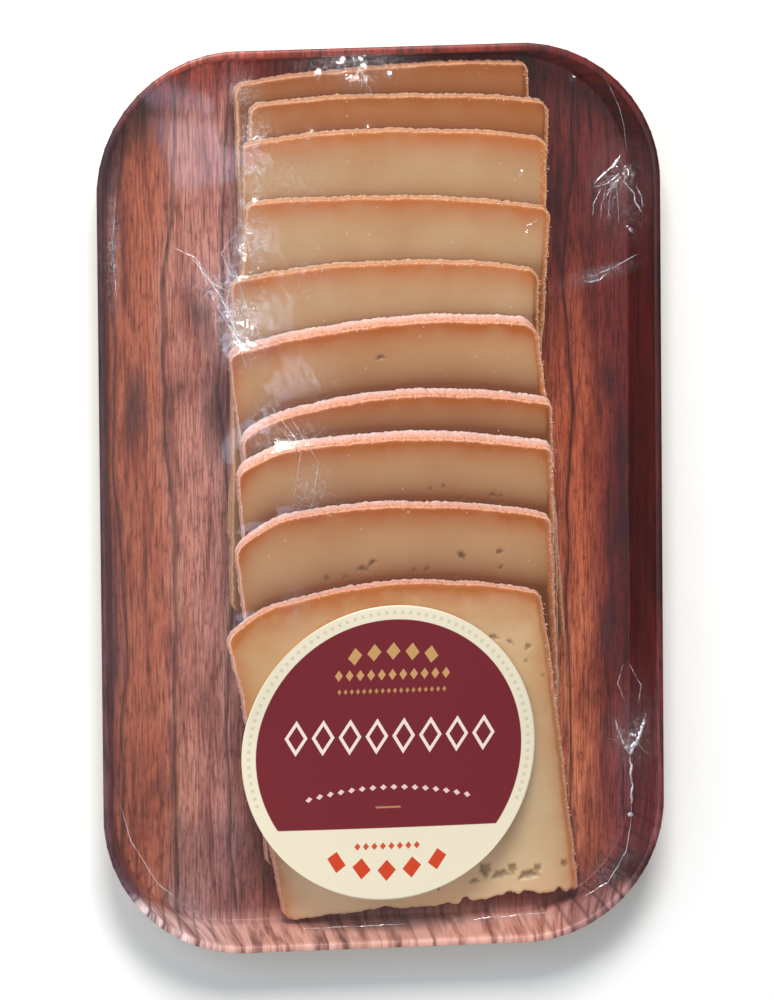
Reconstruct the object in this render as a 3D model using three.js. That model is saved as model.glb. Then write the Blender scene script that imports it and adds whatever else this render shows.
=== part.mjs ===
// Sliced cheese in a film-wrapped paperboard tray.
// Millimetres, +Z up. The origin is on the table under the middle of the tray, and
// +Y runs along the tray towards the heel of the rearmost slice.
import * as THREE from 'three';

// Tray: a pressed board pan with leaning walls and a narrow rolled lip
const trayLength = 216;
const trayWidth = 135;
const trayHeight = 18;
const trayCornerRadius = 34;
const boardThickness = 1;
const wallThickness = 0.8;
const lipWidth = 0.9;
const lipDrop = 0.8;
const wallLean = 2.8;
const floorFillet = 0.8;
const cornerSteps = 12;

// Slices: one thickness, bent over one another like tiles
const sliceThickness = 3.9;
const touchGap = 0.35;
const firstSliceTilt = THREE.MathUtils.degToRad(7);
const bendPerMillimetre = 0.012;
const pileCrown = 0.8;
const crownHalfWidth = 42;
const profileStep = 0.5;
const sliceRows = 17;
const sliceColumns = 8;
const footCornerRadius = 2;

// Film: a skin drawn from the lip over the pile
const filmThickness = 0.35;
const filmInset = 0.6;
const filmColumns = 24;
const filmStraightRows = 26;
const filmCornerRows = 5;
const filmReachX = 6;
const filmReachY = 7;
const membraneRounds = 900;

// Label: a thin disc stuck on the film over the front slice
const labelRadiusX = 35.2;
const labelRadiusY = 36.8;
const labelCentreX = -0.3;
const labelCentreY = -59.1;
const labelThickness = 0.3;
const labelCells = 14;

// Each slice from the rear to the front: where its rind heel and its cut foot lie, its
// place across the tray, its width at heel and foot, its turn in degrees, how far the
// heel bows out, the radii of the two heel corners, the height of the foot over the
// floor, how far the heel's lower edge stands out past the upper one, the degrees by
// which the long sides are out of square with the heel, and how far the heel drops
// back at its left shoulder
const slices = [
  [102.8, 20.5, 1.1, 70, 70, 2.8, 1.7, 2, 2, 0, 0.3, 0, 0],
  [96.4, 13.5, 4.9, 71.5, 71, -1.0, 2.1, 2.5, 3, 3, 0.3, 0, 0],
  [88.6, 6.5, 3.6, 72.5, 72, -0.9, 2.8, 2, 3, 6, 0.3, 0, 0],
  [72.9, -11, 3.6, 73, 72, -2.5, 2.1, 2, 3, 6.5, 0.3, 0, 0],
  [57.8, -26, -0.1, 73.5, 72, 0.4, 3.2, 2, 3, 7, 0.4, 0, 0],
  [43.4, -39, -1.4, 74, 72, 4.0, 3.8, 2, 4, 6, 1.5, 3, 0],
  [26.5, -54, 1.2, 74, 73, 2.9, 5.0, 2, 1.5, 4, 1.4, 1, 2.5],
  [16.8, -66, 0.6, 75, 72, 0.2, 3.9, 2, 1.5, 2.5, 1.7, 3.5, 3.4],
  [1.1, -89, -0.2, 75, 71, 0.3, 4.5, 2, 1.5, 0, 0.9, 5.5, 5.0],
  [-17.4, -100.8, -3.0, 75, 71, 3.8, 6.1, 2, 2, 0, 0.3, 7.2, 3.8],
].map(([heel, foot, x, wide, footWide, turn, bow, left, right, lift, lean, skew, shoulder]) => (
  { heel, foot, x, wide, footWide, turn, bow, left, right, lift, lean, skew, shoulder }
));
const shoulderStart = 0.65;

const cheese = () => new THREE.MeshStandardMaterial({ color: '#c99f70', roughness: 0.55, metalness: 0 });
const board = () => new THREE.MeshStandardMaterial({ color: '#8d4a3c', roughness: 0.6, metalness: 0 });
const paper = () => new THREE.MeshStandardMaterial({ color: '#7d2f37', roughness: 0.5, metalness: 0 });
const film = () => new THREE.MeshStandardMaterial({
  color: '#eef0f4', roughness: 0.12, metalness: 0, transparent: true, opacity: 0.2,
});

// A geometry from a list of corner points and a list of triangles
function solid(points, triangles) {
  const geometry = new THREE.BufferGeometry();
  geometry.setAttribute('position', new THREE.Float32BufferAttribute(points.flat(), 3));
  geometry.setIndex(triangles.flat());
  geometry.computeVertexNormals();
  return geometry;
}

// A closed plate whose upper and lower faces are grids of (rows + 1) by (columns + 1)
// points. place(row, column) gives [upper point, lower point]. Columns run towards +X
// and rows towards +Y, so the upper face turns anticlockwise seen from above.
function plate(rows, columns, place) {
  const points = [];
  const triangles = [];
  const wide = columns + 1;
  const lowerStart = (rows + 1) * wide;
  const upper = [];
  const lower = [];
  for (let row = 0; row <= rows; row++) {
    for (let column = 0; column <= columns; column++) {
      const [above, below] = place(row, column);
      upper.push(above);
      lower.push(below);
    }
  }
  points.push(...upper, ...lower);
  for (let row = 0; row < rows; row++) {
    for (let column = 0; column < columns; column++) {
      const a = row * wide + column;
      const b = a + 1;
      const c = a + wide + 1;
      const d = a + wide;
      triangles.push([a, b, c], [a, c, d]);
      triangles.push([a + lowerStart, c + lowerStart, b + lowerStart]);
      triangles.push([a + lowerStart, d + lowerStart, c + lowerStart]);
    }
  }
  const rim = [];
  for (let column = 0; column < columns; column++) rim.push(column);
  for (let row = 0; row < rows; row++) rim.push(row * wide + columns);
  for (let column = columns; column > 0; column--) rim.push(rows * wide + column);
  for (let row = rows; row > 0; row--) rim.push(row * wide);
  rim.forEach((here, index) => {
    const next = rim[(index + 1) % rim.length];
    triangles.push([here, here + lowerStart, next + lowerStart], [here, next + lowerStart, next]);
  });
  return solid(points, triangles);
}

// Points of a rounded rectangle drawn in from the tray's outer edge, anticlockwise
function trayOutline(inset) {
  const radius = trayCornerRadius - inset;
  const centreX = trayWidth / 2 - trayCornerRadius;
  const centreY = trayLength / 2 - trayCornerRadius;
  const corners = [[1, 1], [-1, 1], [-1, -1], [1, -1]];
  return corners.flatMap(([sideX, sideY], quarter) => {
    const points = [];
    for (let step = 0; step <= cornerSteps; step++) {
      const angle = (quarter + step / cornerSteps) * Math.PI / 2;
      points.push([sideX * centreX + radius * Math.cos(angle), sideY * centreY + radius * Math.sin(angle)]);
    }
    return points;
  });
}

// The board's section from the underside out to the lip and back to the floor, as
// [inset from the outer edge, height], carried round the tray's outline
function trayGeometry() {
  const inside = lipWidth + wallThickness;
  const section = [
    [lipWidth + wallLean + floorFillet, 0],
    [lipWidth + wallLean, floorFillet],
    [lipWidth, trayHeight - lipDrop],
    [0, trayHeight - lipDrop],
    [0, trayHeight],
    [inside, trayHeight],
    [inside + wallLean, boardThickness + floorFillet],
    [inside + wallLean + floorFillet, boardThickness],
  ];
  const rings = section.map(([inset, height]) => trayOutline(inset).map(([x, y]) => [x, y, height]));
  const count = rings[0].length;
  const points = rings.flat();
  const triangles = [];
  for (let ring = 0; ring + 1 < rings.length; ring++) {
    for (let index = 0; index < count; index++) {
      const next = (index + 1) % count;
      const a = ring * count + index;
      const b = ring * count + next;
      const c = (ring + 1) * count + next;
      const d = (ring + 1) * count + index;
      triangles.push([a, b, c], [a, c, d]);
    }
  }
  const underside = points.push([0, 0, 0]) - 1;
  const floorCentre = points.push([0, 0, boardThickness]) - 1;
  const last = (rings.length - 1) * count;
  for (let index = 0; index < count; index++) {
    const next = (index + 1) % count;
    triangles.push([underside, next, index], [floorCentre, last + index, last + next]);
  }
  return solid(points, triangles);
}

// Half the width of a slice at a distance from its heel, with both ends rounded
function halfWidth(slice, distance, side) {
  const length = slice.heel - slice.foot;
  const share = distance / length;
  const half = (slice.wide + (slice.footWide - slice.wide) * share) / 2;
  const heelRadius = side < 0 ? slice.left : slice.right;
  const rounding = (radius, depth) => {
    const inside = Math.max(0, radius - depth);
    return radius - Math.sqrt(radius * radius - inside * inside);
  };
  return half - rounding(heelRadius, distance) - rounding(footCornerRadius, length - distance);
}

// The plan place of a point of a slice: distance from the heel, and share of the
// half width from -1 to 1. The heel bows out, drops back at its left shoulder, and
// the foot is straight.
function planPoint(slice, distance, share) {
  const length = slice.heel - slice.foot;
  const side = Math.sign(share);
  const across = share * halfWidth(slice, distance, side);
  const fade = (1 - distance / length) ** 2;
  const x = across + distance * Math.tan(THREE.MathUtils.degToRad(slice.skew));
  const reach = 2 * across / slice.wide;
  const pastShoulder = Math.max(0, (-reach - shoulderStart) / (1 - shoulderStart));
  const y = -distance - fade * (slice.bow * reach ** 2 + slice.shoulder * pastShoulder ** 2);
  const turn = THREE.MathUtils.degToRad(slice.turn);
  return [
    slice.x + x * Math.cos(turn) - y * Math.sin(turn),
    slice.heel + x * Math.sin(turn) + y * Math.cos(turn),
  ];
}

// Distances from the heel of the rows of a slice, close together round the corners
function rowDistances(slice) {
  const length = slice.heel - slice.foot;
  const corner = Math.max(slice.left, slice.right);
  const distances = [0, corner * 0.08, corner * 0.35];
  const rest = sliceRows - distances.length - 2;
  for (let row = 0; row <= rest; row++) {
    distances.push(corner + (length - footCornerRadius - corner) * row / rest);
  }
  distances.push(length - footCornerRadius * 0.3, length);
  return distances;
}

// The height of the pile as a row of samples along Y, read between the samples
const profileStart = -trayLength / 2;
const profileCount = Math.round(trayLength / profileStep) + 1;
const pileTop = new Array(profileCount).fill(boardThickness);
const profileY = (index) => profileStart + index * profileStep;

function readProfile(heights, y) {
  const place = THREE.MathUtils.clamp((y - profileStart) / profileStep, 0, profileCount - 1.001);
  const index = Math.floor(place);
  return heights[index] + (heights[index + 1] - heights[index]) * (place - index);
}

// The underside of a slice that lies on the pile: from the foot it climbs just
// steeply enough to clear all that is ahead, and it bends by no more than it can
function drape(support) {
  const heights = [support[0]];
  let slope = -Infinity;
  for (let index = 0; index + 1 < support.length; index++) {
    let needed = -Infinity;
    for (let ahead = index + 1; ahead < support.length; ahead++) {
      needed = Math.max(needed, (support[ahead] - heights[index]) / ((ahead - index) * profileStep));
    }
    slope = Math.max(needed, slope - bendPerMillimetre * profileStep);
    heights.push(heights[index] + slope * profileStep);
  }
  return heights;
}

// Lays each slice on those before it and keeps its lower and upper profiles
function layPile() {
  for (const slice of slices) {
    const corners = [0, slice.heel - slice.foot].flatMap((distance) => [-1, 0, 1].map(
      (share) => planPoint(slice, distance, share)[1]));
    const first = Math.floor((Math.min(...corners) - slice.lean - profileStart) / profileStep);
    const last = Math.ceil((Math.max(...corners) + slice.lean - profileStart) / profileStep);
    const support = pileTop.slice(first, last + 1).map((height) => height + touchGap);
    support[0] = Math.max(support[0], boardThickness + touchGap + slice.lift);
    if (slice === slices[0]) {
      support.forEach((height, index) => {
        const ramp = boardThickness + touchGap + index * profileStep * Math.tan(firstSliceTilt);
        support[index] = Math.max(height, ramp);
      });
    }
    const under = drape(support);
    slice.lower = new Array(profileCount).fill(under[0]);
    slice.upper = new Array(profileCount).fill(under[0] + sliceThickness);
    for (let index = first; index < profileCount; index++) {
      const here = Math.min(index - first, under.length - 1);
      const before = Math.max(0, Math.min(here, under.length - 2));
      const slope = (under[before + 1] - under[before]) / profileStep;
      slice.lower[index] = under[here];
      slice.upper[index] = under[here] + sliceThickness * Math.hypot(1, slope);
    }
    for (let index = first; index <= last; index++) pileTop[index] = slice.upper[index];
  }
}

// The pile is a little higher along its middle than at its sides
const crown = (x) => pileCrown * Math.max(0, 1 - (x / crownHalfWidth) ** 2);

function sliceGeometry(slice) {
  const distances = rowDistances(slice).reverse();
  return plate(sliceRows, sliceColumns, (row, column) => {
    const share = 2 * column / sliceColumns - 1;
    const [x, y] = planPoint(slice, distances[row], share);
    const out = row === sliceRows ? slice.lean : 0;
    return [
      [x, y, readProfile(slice.upper, y) + crown(x)],
      [x, y + out, readProfile(slice.lower, y + out) + crown(x)],
    ];
  });
}

// The top of the pile at one place, or the floor where no slice lies
function pileHeight(x, y) {
  let height = boardThickness;
  for (const slice of slices) {
    const turn = THREE.MathUtils.degToRad(slice.turn);
    const alongHere = (x - slice.x) * Math.sin(turn) - (y - slice.heel) * Math.cos(turn);
    const shift = alongHere * Math.tan(THREE.MathUtils.degToRad(slice.skew));
    const acrossHere = (x - slice.x) * Math.cos(turn) + (y - slice.heel) * Math.sin(turn) - shift;
    const length = slice.heel - slice.foot;
    const distance = THREE.MathUtils.clamp(alongHere, 0, length);
    const outside = alongHere < 0 || alongHere > length;
    if (outside || Math.abs(acrossHere) > halfWidth(slice, distance, Math.sign(acrossHere))) continue;
    height = Math.max(height, readProfile(slice.upper, y) + crown(x));
  }
  return height;
}

// Half the width of the film at a place along the tray
function filmHalfWidth(y) {
  const radius = trayCornerRadius - filmInset;
  const past = Math.max(0, Math.abs(y) - (trayLength / 2 - trayCornerRadius));
  return trayWidth / 2 - trayCornerRadius + Math.sqrt(Math.max(0, radius * radius - past * past));
}

// Rows of the film along Y, evenly turned round the corners
function filmRowPlaces() {
  const radius = trayCornerRadius - filmInset;
  const straight = trayLength / 2 - trayCornerRadius;
  const places = [];
  for (let row = 0; row < filmCornerRows; row++) {
    places.push(-straight - radius * Math.cos(row / filmCornerRows * Math.PI / 2));
  }
  for (let row = 0; row <= filmStraightRows; row++) {
    places.push(-straight + 2 * straight * row / filmStraightRows);
  }
  for (let row = 1; row <= filmCornerRows; row++) {
    places.push(straight + radius * Math.sin(row / filmCornerRows * Math.PI / 2));
  }
  return places;
}

// The film's lower face: held at the lip, drawn tight, and lifted wherever the pile
// reaches it, so each free point settles at the mean of its four neighbours
const filmPlaces = filmRowPlaces();
const filmRows = filmPlaces.length - 1;
const filmHeights = [];

function stretchFilm() {
  const lipLevel = trayHeight + touchGap;
  const reaches = [-1, -0.5, 0, 0.5, 1];
  const supports = filmPlaces.map((y) => {
    const row = [];
    for (let column = 0; column <= filmColumns; column++) {
      const x = (2 * column / filmColumns - 1) * filmHalfWidth(y);
      const near = reaches.flatMap((stepX) => reaches.map(
        (stepY) => pileHeight(x + stepX * filmReachX, y + stepY * filmReachY)));
      row.push(Math.max(...near) + touchGap);
    }
    return row;
  });
  supports.forEach((row) => filmHeights.push(row.map(() => lipLevel)));
  for (let round = 0; round < membraneRounds; round++) {
    for (let row = 1; row < filmRows; row++) {
      for (let column = 1; column < filmColumns; column++) {
        const mean = (filmHeights[row - 1][column] + filmHeights[row + 1][column]
          + filmHeights[row][column - 1] + filmHeights[row][column + 1]) / 4;
        filmHeights[row][column] = Math.max(mean, supports[row][column]);
      }
    }
  }
}

function filmGeometry() {
  return plate(filmRows, filmColumns, (row, column) => {
    const y = filmPlaces[row];
    const x = (2 * column / filmColumns - 1) * filmHalfWidth(y);
    const height = filmHeights[row][column];
    return [[x, y, height + filmThickness], [x, y, height]];
  });
}

// The film's upper face at any place inside the tray, on the film's own facets
function filmTop(x, y) {
  let row = 0;
  while (row + 2 < filmPlaces.length && filmPlaces[row + 1] < y) row++;
  const rise = (y - filmPlaces[row]) / (filmPlaces[row + 1] - filmPlaces[row]);
  const half = filmHalfWidth(y);
  const place = THREE.MathUtils.clamp((x / half + 1) / 2 * filmColumns, 0, filmColumns - 0.001);
  const column = Math.floor(place);
  const run = place - column;
  const near = filmHeights[row][column];
  const far = filmHeights[row + 1][column + 1];
  const height = run > rise
    ? near + (filmHeights[row][column + 1] - near) * run + (far - filmHeights[row][column + 1]) * rise
    : near + (filmHeights[row + 1][column] - near) * rise + (far - filmHeights[row + 1][column]) * run;
  return height + filmThickness;
}

// A disc as a square grid pulled round, so that its edge is an ellipse in plan
function labelGeometry() {
  return plate(labelCells, labelCells, (row, column) => {
    const u = 2 * column / labelCells - 1;
    const v = 2 * row / labelCells - 1;
    const x = labelCentreX + labelRadiusX * u * Math.sqrt(1 - v * v / 2);
    const y = labelCentreY + labelRadiusY * v * Math.sqrt(1 - u * u / 2);
    const height = filmTop(x, y) + touchGap;
    return [[x, y, height + labelThickness], [x, y, height]];
  });
}

function piece(name, geometry, material) {
  const mesh = new THREE.Mesh(geometry, material);
  mesh.name = name;
  return mesh;
}

layPile();
stretchFilm();

const pack = new THREE.Group();
pack.add(piece('tray', trayGeometry(), board()));
slices.forEach((slice, index) => {
  const number = String(index + 1).padStart(2, '0');
  pack.add(piece(`slice_${number}`, sliceGeometry(slice), cheese()));
});
pack.add(piece('film', filmGeometry(), film()));
pack.add(piece('label', labelGeometry(), paper()));

export default pack;
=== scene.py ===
# %% [markdown]
# # A film-wrapped tray of sliced cheese
# The real thing is a pressed paperboard tray, ten slices of semi-hard smoked cheese
# laid like roof tiles, a clear film drawn tight over them and a round label.
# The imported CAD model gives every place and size. Blender adds what a camera sees:
# rind, crumbs, eyes, print, pleats, wrinkles and gloss.

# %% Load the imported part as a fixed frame
import math
import bpy
import numpy as np
from mathutils import Matrix, Vector


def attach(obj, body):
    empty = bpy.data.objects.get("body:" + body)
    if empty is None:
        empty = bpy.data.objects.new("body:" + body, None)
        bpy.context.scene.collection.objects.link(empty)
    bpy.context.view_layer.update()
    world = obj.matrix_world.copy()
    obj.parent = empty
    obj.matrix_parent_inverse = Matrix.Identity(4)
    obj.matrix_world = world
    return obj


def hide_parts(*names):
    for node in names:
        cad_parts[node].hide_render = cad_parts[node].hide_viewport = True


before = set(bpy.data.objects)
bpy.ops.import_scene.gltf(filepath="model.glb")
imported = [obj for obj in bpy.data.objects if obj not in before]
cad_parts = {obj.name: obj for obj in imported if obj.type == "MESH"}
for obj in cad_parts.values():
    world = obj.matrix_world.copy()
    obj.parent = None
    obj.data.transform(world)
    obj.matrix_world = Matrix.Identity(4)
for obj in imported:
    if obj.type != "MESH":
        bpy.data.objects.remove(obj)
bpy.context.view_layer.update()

# %% [markdown]
# ## Helpers
# All shapes are worked out in millimetres with numpy, as whole arrays, and are only
# turned to metres when they become a mesh. Colours are written as sRGB hex, as a
# printer or a web page gives them, and turned to linear light by one function.

# %% Colours, meshes and nodes
MM = 0.001


def linear(code):
    """An sRGB hex colour as linear RGBA: each channel is c / 12.92 when dark, else
    ((c + 0.055) / 1.055) to the power 2.4."""
    channels = np.array([int(code[i:i + 2], 16) for i in (1, 3, 5)]) / 255
    light = np.where(channels <= 0.04045, channels / 12.92, ((channels + 0.055) / 1.055) ** 2.4)
    return (*light, 1.0)


def mesh_piece(name, points, quads, material, marks=None):
    """A smooth mesh object from points in millimetres and an array of four-cornered
    faces. marks are named values, one for each point."""
    mesh = bpy.data.meshes.new(name)
    mesh.vertices.add(len(points))
    mesh.vertices.foreach_set("co", (np.asarray(points) * MM).astype(np.float32).ravel())
    mesh.loops.add(quads.size)
    mesh.loops.foreach_set("vertex_index", quads.astype(np.int32).ravel())
    mesh.polygons.add(len(quads))
    mesh.polygons.foreach_set("loop_start", np.arange(0, quads.size, quads.shape[1], dtype=np.int32))
    mesh.update(calc_edges=True)
    mesh.shade_smooth()
    for label, values in (marks or {}).items():
        kind, field = ("FLOAT", "value") if np.ndim(values) == 1 else ("FLOAT_VECTOR", "vector")
        mesh.attributes.new(label, kind, "POINT").data.foreach_set(
            field, np.asarray(values, np.float32).ravel())
    piece = bpy.data.objects.new(name, mesh)
    bpy.context.scene.collection.objects.link(piece)
    mesh.materials.append(material)
    print(name, len(points), "points", len(quads), "faces")
    return piece


def new_material(name):
    """An empty node material with its output."""
    material = bpy.data.materials.new(name)
    material.use_nodes = True
    material.node_tree.nodes.clear()
    return material, material.node_tree


def add(tree, kind, inputs=None, **settings):
    """Adds one node. inputs maps a socket's name or number to a value, or to another
    node's output, which is then linked. settings are the node's own properties."""
    node = tree.nodes.new("ShaderNode" + kind)
    for key, value in settings.items():
        setattr(node, key, value)
    for key, value in (inputs or {}).items():
        if isinstance(value, bpy.types.NodeSocket):
            tree.links.new(value, node.inputs[key])
        else:
            node.inputs[key].default_value = value
    return node


def ramp(tree, factor, stops):
    """A colour ramp node with its stops given as (place, sRGB hex)."""
    node = add(tree, "ValToRGB", {"Fac": factor})
    elements = node.color_ramp.elements
    while len(elements) < len(stops):
        elements.new(1.0)
    for element, (place, code) in zip(elements, stops):
        element.position = place
        element.color = linear(code)
    return node.outputs["Color"]


def wobble(t, seed, size, longest, octaves=4):
    """A smooth random line: sines of halving wavelength and height, with random phases."""
    draw = np.random.default_rng(seed)
    total = np.zeros_like(np.asarray(t, float))
    for octave in range(octaves):
        wave = longest / 2 ** octave * draw.uniform(0.85, 1.15)
        total += size / 1.6 ** octave * np.sin(2 * np.pi * (t / wave + draw.uniform()))
    return total


def crumble(t, seed, size, pitch):
    """A rough random line: random heights every pitch, joined by straight lines, plus
    the same again at less than half the pitch and half the height."""
    table = np.random.default_rng(seed).normal(0, 1, 4096)
    total = np.zeros_like(np.asarray(t, float))
    for share, grain in ((1.0, pitch), (0.5, pitch / 2.3)):
        place = np.asarray(t, float) / grain + 2048
        index = np.floor(place).astype(int)
        before, after = table[index % 4096], table[(index + 1) % 4096]
        total += size * share * (before * (index + 1 - place) + after * (place - index))
    return total


def grid_quads(rows, columns, start=0):
    """Quads of a grid of rows by columns points, anticlockwise seen from above."""
    a = (np.arange(rows - 1)[:, None] * columns + np.arange(columns - 1)[None, :]).ravel() + start
    return np.stack([a, a + 1, a + columns + 1, a + columns], 1)


def rim_indices(rows, columns):
    """The edge points of a grid in order, anticlockwise seen from above."""
    ids = np.arange(rows * columns).reshape(rows, columns)
    return np.concatenate([ids[0, :-1], ids[:-1, -1], ids[-1, :0:-1], ids[:0:-1, 0]])


def ring_quads(first, second):
    """A band of quads between two closed rings of the same number of points."""
    return np.stack([first, second, np.roll(second, -1), np.roll(first, -1)], 1)


# %% [markdown]
# ## The pile of slices
# A slicing machine lays each slice a little further on than the last. The rear ones
# lie almost flat, and the later ones droop over them to the floor. One side view of
# the pile is enough: each slice's underside is a line along the tray that climbs
# just steeply enough from its foot to clear what lies ahead, and that bends by no
# more than cheese can. The same sizes are used as in the CAD part.

# %% Driving sizes in millimetres
TRAY_LENGTH, TRAY_WIDTH, TRAY_HEIGHT, TRAY_CORNER = 216.0, 135.0, 18.0, 34.0
BOARD = 1.0
WALL, LIP, LIP_DROP, WALL_LEAN, FLOOR_FILLET = 0.8, 0.9, 0.8, 2.8, 0.8
THICK, GAP, FIRST_TILT, BEND = 3.9, 0.35, math.radians(7), 0.012
CROWN, CROWN_HALF, STEP, FOOT_CORNER, SHOULDER = 0.8, 42.0, 0.5, 2.0, 0.65
SLICE_KEYS = ("heel", "foot", "x", "wide", "foot_wide", "turn", "bow", "left", "right", "lift", "lean",
              "skew", "shoulder")
SLICES = [dict(zip(SLICE_KEYS, row)) for row in (
    (102.8, 20.5, 1.1, 70.0, 70.0, 2.8, 1.7, 2, 2, 0.0, 0.3, 0, 0),
    (96.4, 13.5, 4.9, 71.5, 71.0, -1.0, 2.1, 2.5, 3, 3.0, 0.3, 0, 0),
    (88.6, 6.5, 3.6, 72.5, 72.0, -0.9, 2.8, 2, 3, 6.0, 0.3, 0, 0),
    (72.9, -11.0, 3.6, 73.0, 72.0, -2.5, 2.1, 2, 3, 6.5, 0.3, 0, 0),
    (57.8, -26.0, -0.1, 73.5, 72.0, 0.4, 3.2, 2, 3, 7.0, 0.4, 0, 0),
    (43.4, -39.0, -1.4, 74.0, 72.0, 4.0, 3.8, 2, 4, 6.0, 1.5, 3, 0),
    (26.5, -54.0, 1.2, 74.0, 73.0, 2.9, 5.0, 2, 1.5, 4.0, 1.4, 1, 2.5),
    (16.8, -66.0, 0.6, 75.0, 72.0, 0.2, 3.9, 2, 1.5, 2.5, 1.7, 3.5, 3.4),
    (1.1, -89.0, -0.2, 75.0, 71.0, 0.3, 4.5, 2, 1.5, 0.0, 0.9, 5.5, 5.0),
    (-17.4, -100.8, -3.0, 75.0, 71.0, 3.8, 6.1, 2, 2, 0.0, 0.3, 7.2, 3.8),
)]
PROFILE_Y = np.arange(-TRAY_LENGTH / 2, TRAY_LENGTH / 2 + STEP / 2, STEP)


# %% The outline of a slice in plan
def half_width(cut, distance, side):
    """Half the width at a distance from the heel. It runs evenly from heel to foot,
    less a quarter circle of corner at each end."""
    length = cut["heel"] - cut["foot"]
    half = (cut["wide"] + (cut["foot_wide"] - cut["wide"]) * distance / length) / 2
    radius = np.where(side < 0, cut["left"], cut["right"])
    near_heel = np.maximum(0, radius - distance)
    near_foot = np.maximum(0, FOOT_CORNER - (length - distance))
    half = half - (radius - np.sqrt(radius ** 2 - near_heel ** 2))
    return half - (FOOT_CORNER - np.sqrt(FOOT_CORNER ** 2 - near_foot ** 2))


def heel_drop(cut, across):
    """How far the heel's edge lies behind its middle: a parabola, and one more from
    the left shoulder on."""
    reach = 2 * across / cut["wide"]
    past = np.maximum(0, (-reach - SHOULDER) / (1 - SHOULDER))
    return cut["bow"] * reach ** 2 + cut["shoulder"] * past ** 2


def plan_point(cut, distance, across):
    """Turns distance from the heel and millimetres across into a place on the tray.
    The heel's bow fades towards the foot."""
    length = cut["heel"] - cut["foot"]
    fade = (1 - np.clip(distance / length, 0, 1)) ** 2
    along = -distance - fade * heel_drop(cut, across)
    across = across + distance * math.tan(math.radians(cut["skew"]))
    turn = math.radians(cut["turn"])
    x = cut["x"] + across * math.cos(turn) - along * math.sin(turn)
    y = cut["heel"] + across * math.sin(turn) + along * math.cos(turn)
    return x, y


# %% The side view of the pile
def drape(support):
    """The underside over a row of support heights: at each step the slope is the
    steepest that any point ahead needs, or the last slope less the allowed bend."""
    heights, slope = [support[0]], -np.inf
    for index in range(len(support) - 1):
        ahead = np.arange(1, len(support) - index) * STEP
        needed = np.max((support[index + 1:] - heights[-1]) / ahead)
        slope = max(needed, slope - BEND * STEP)
        heights.append(heights[-1] + slope * STEP)
    return np.array(heights)


def lay_pile():
    """Lays each slice on those before it and keeps its lower and upper profiles."""
    top = np.full(len(PROFILE_Y), BOARD)
    for number, cut in enumerate(SLICES):
        length = cut["heel"] - cut["foot"]
        ends = []
        for distance in (0.0, length):
            for side in (-1, 0, 1):
                half = float(half_width(cut, np.array(distance), np.array(side)))
                ends.append(plan_point(cut, distance, side * half)[1])
        first = int(math.floor((min(ends) - cut["lean"] - PROFILE_Y[0]) / STEP))
        last = int(math.ceil((max(ends) + cut["lean"] - PROFILE_Y[0]) / STEP))
        support = top[first:last + 1] + GAP
        support[0] = max(support[0], BOARD + GAP + cut["lift"])
        if number == 0:
            ramp_up = BOARD + GAP + np.arange(len(support)) * STEP * math.tan(FIRST_TILT)
            support = np.maximum(support, ramp_up)
        under = drape(support)
        slope = np.diff(under, append=2 * under[-1] - under[-2]) / STEP
        places = PROFILE_Y[first:last + 1]
        cut["lower"] = np.interp(PROFILE_Y, places, under)
        cut["upper"] = np.interp(PROFILE_Y, places, under + THICK * np.hypot(1, slope))
        top[first:last + 1] = cut["upper"][first:last + 1]
    return top


def crown(x):
    """The pile is a little higher along its middle than at its sides."""
    return CROWN * np.maximum(0, 1 - (x / CROWN_HALF) ** 2)


pile_top = lay_pile()
print("pile height", round(float(pile_top.max()), 2), "mm")

# %% [markdown]
# ## Cheese and rind
# Smoked raclette is a semi-hard, washed-rind cheese: a pale tan paste that lets a
# little light in, a thin amber zone under the rind, and a pinkish orange rind that
# crumbles where the knife leaves it. Wax and putty look flat because no light
# enters them, so the paste gets a little subsurface scattering. The mesh carries
# how far each point is from the rind, and the colours follow that.

# %% Material of the cut cheese: knife-cut paste, smoked rind, eyes
RIND_TAN = [(0.02, "#c4753c"), (0.14, "#d69a6c"), (0.30, "#dba67c"),
            (0.60, "#e0b18f"), (0.85, "#eac8ae"), (1.0, "#f2dfd0")]
RIND_PINK = [(0.02, "#c9783f"), (0.14, "#dd9c76"), (0.30, "#e3a891"),
             (0.60, "#e8b8a8"), (0.85, "#f2d2c8"), (1.0, "#f8e9e4")]


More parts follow.
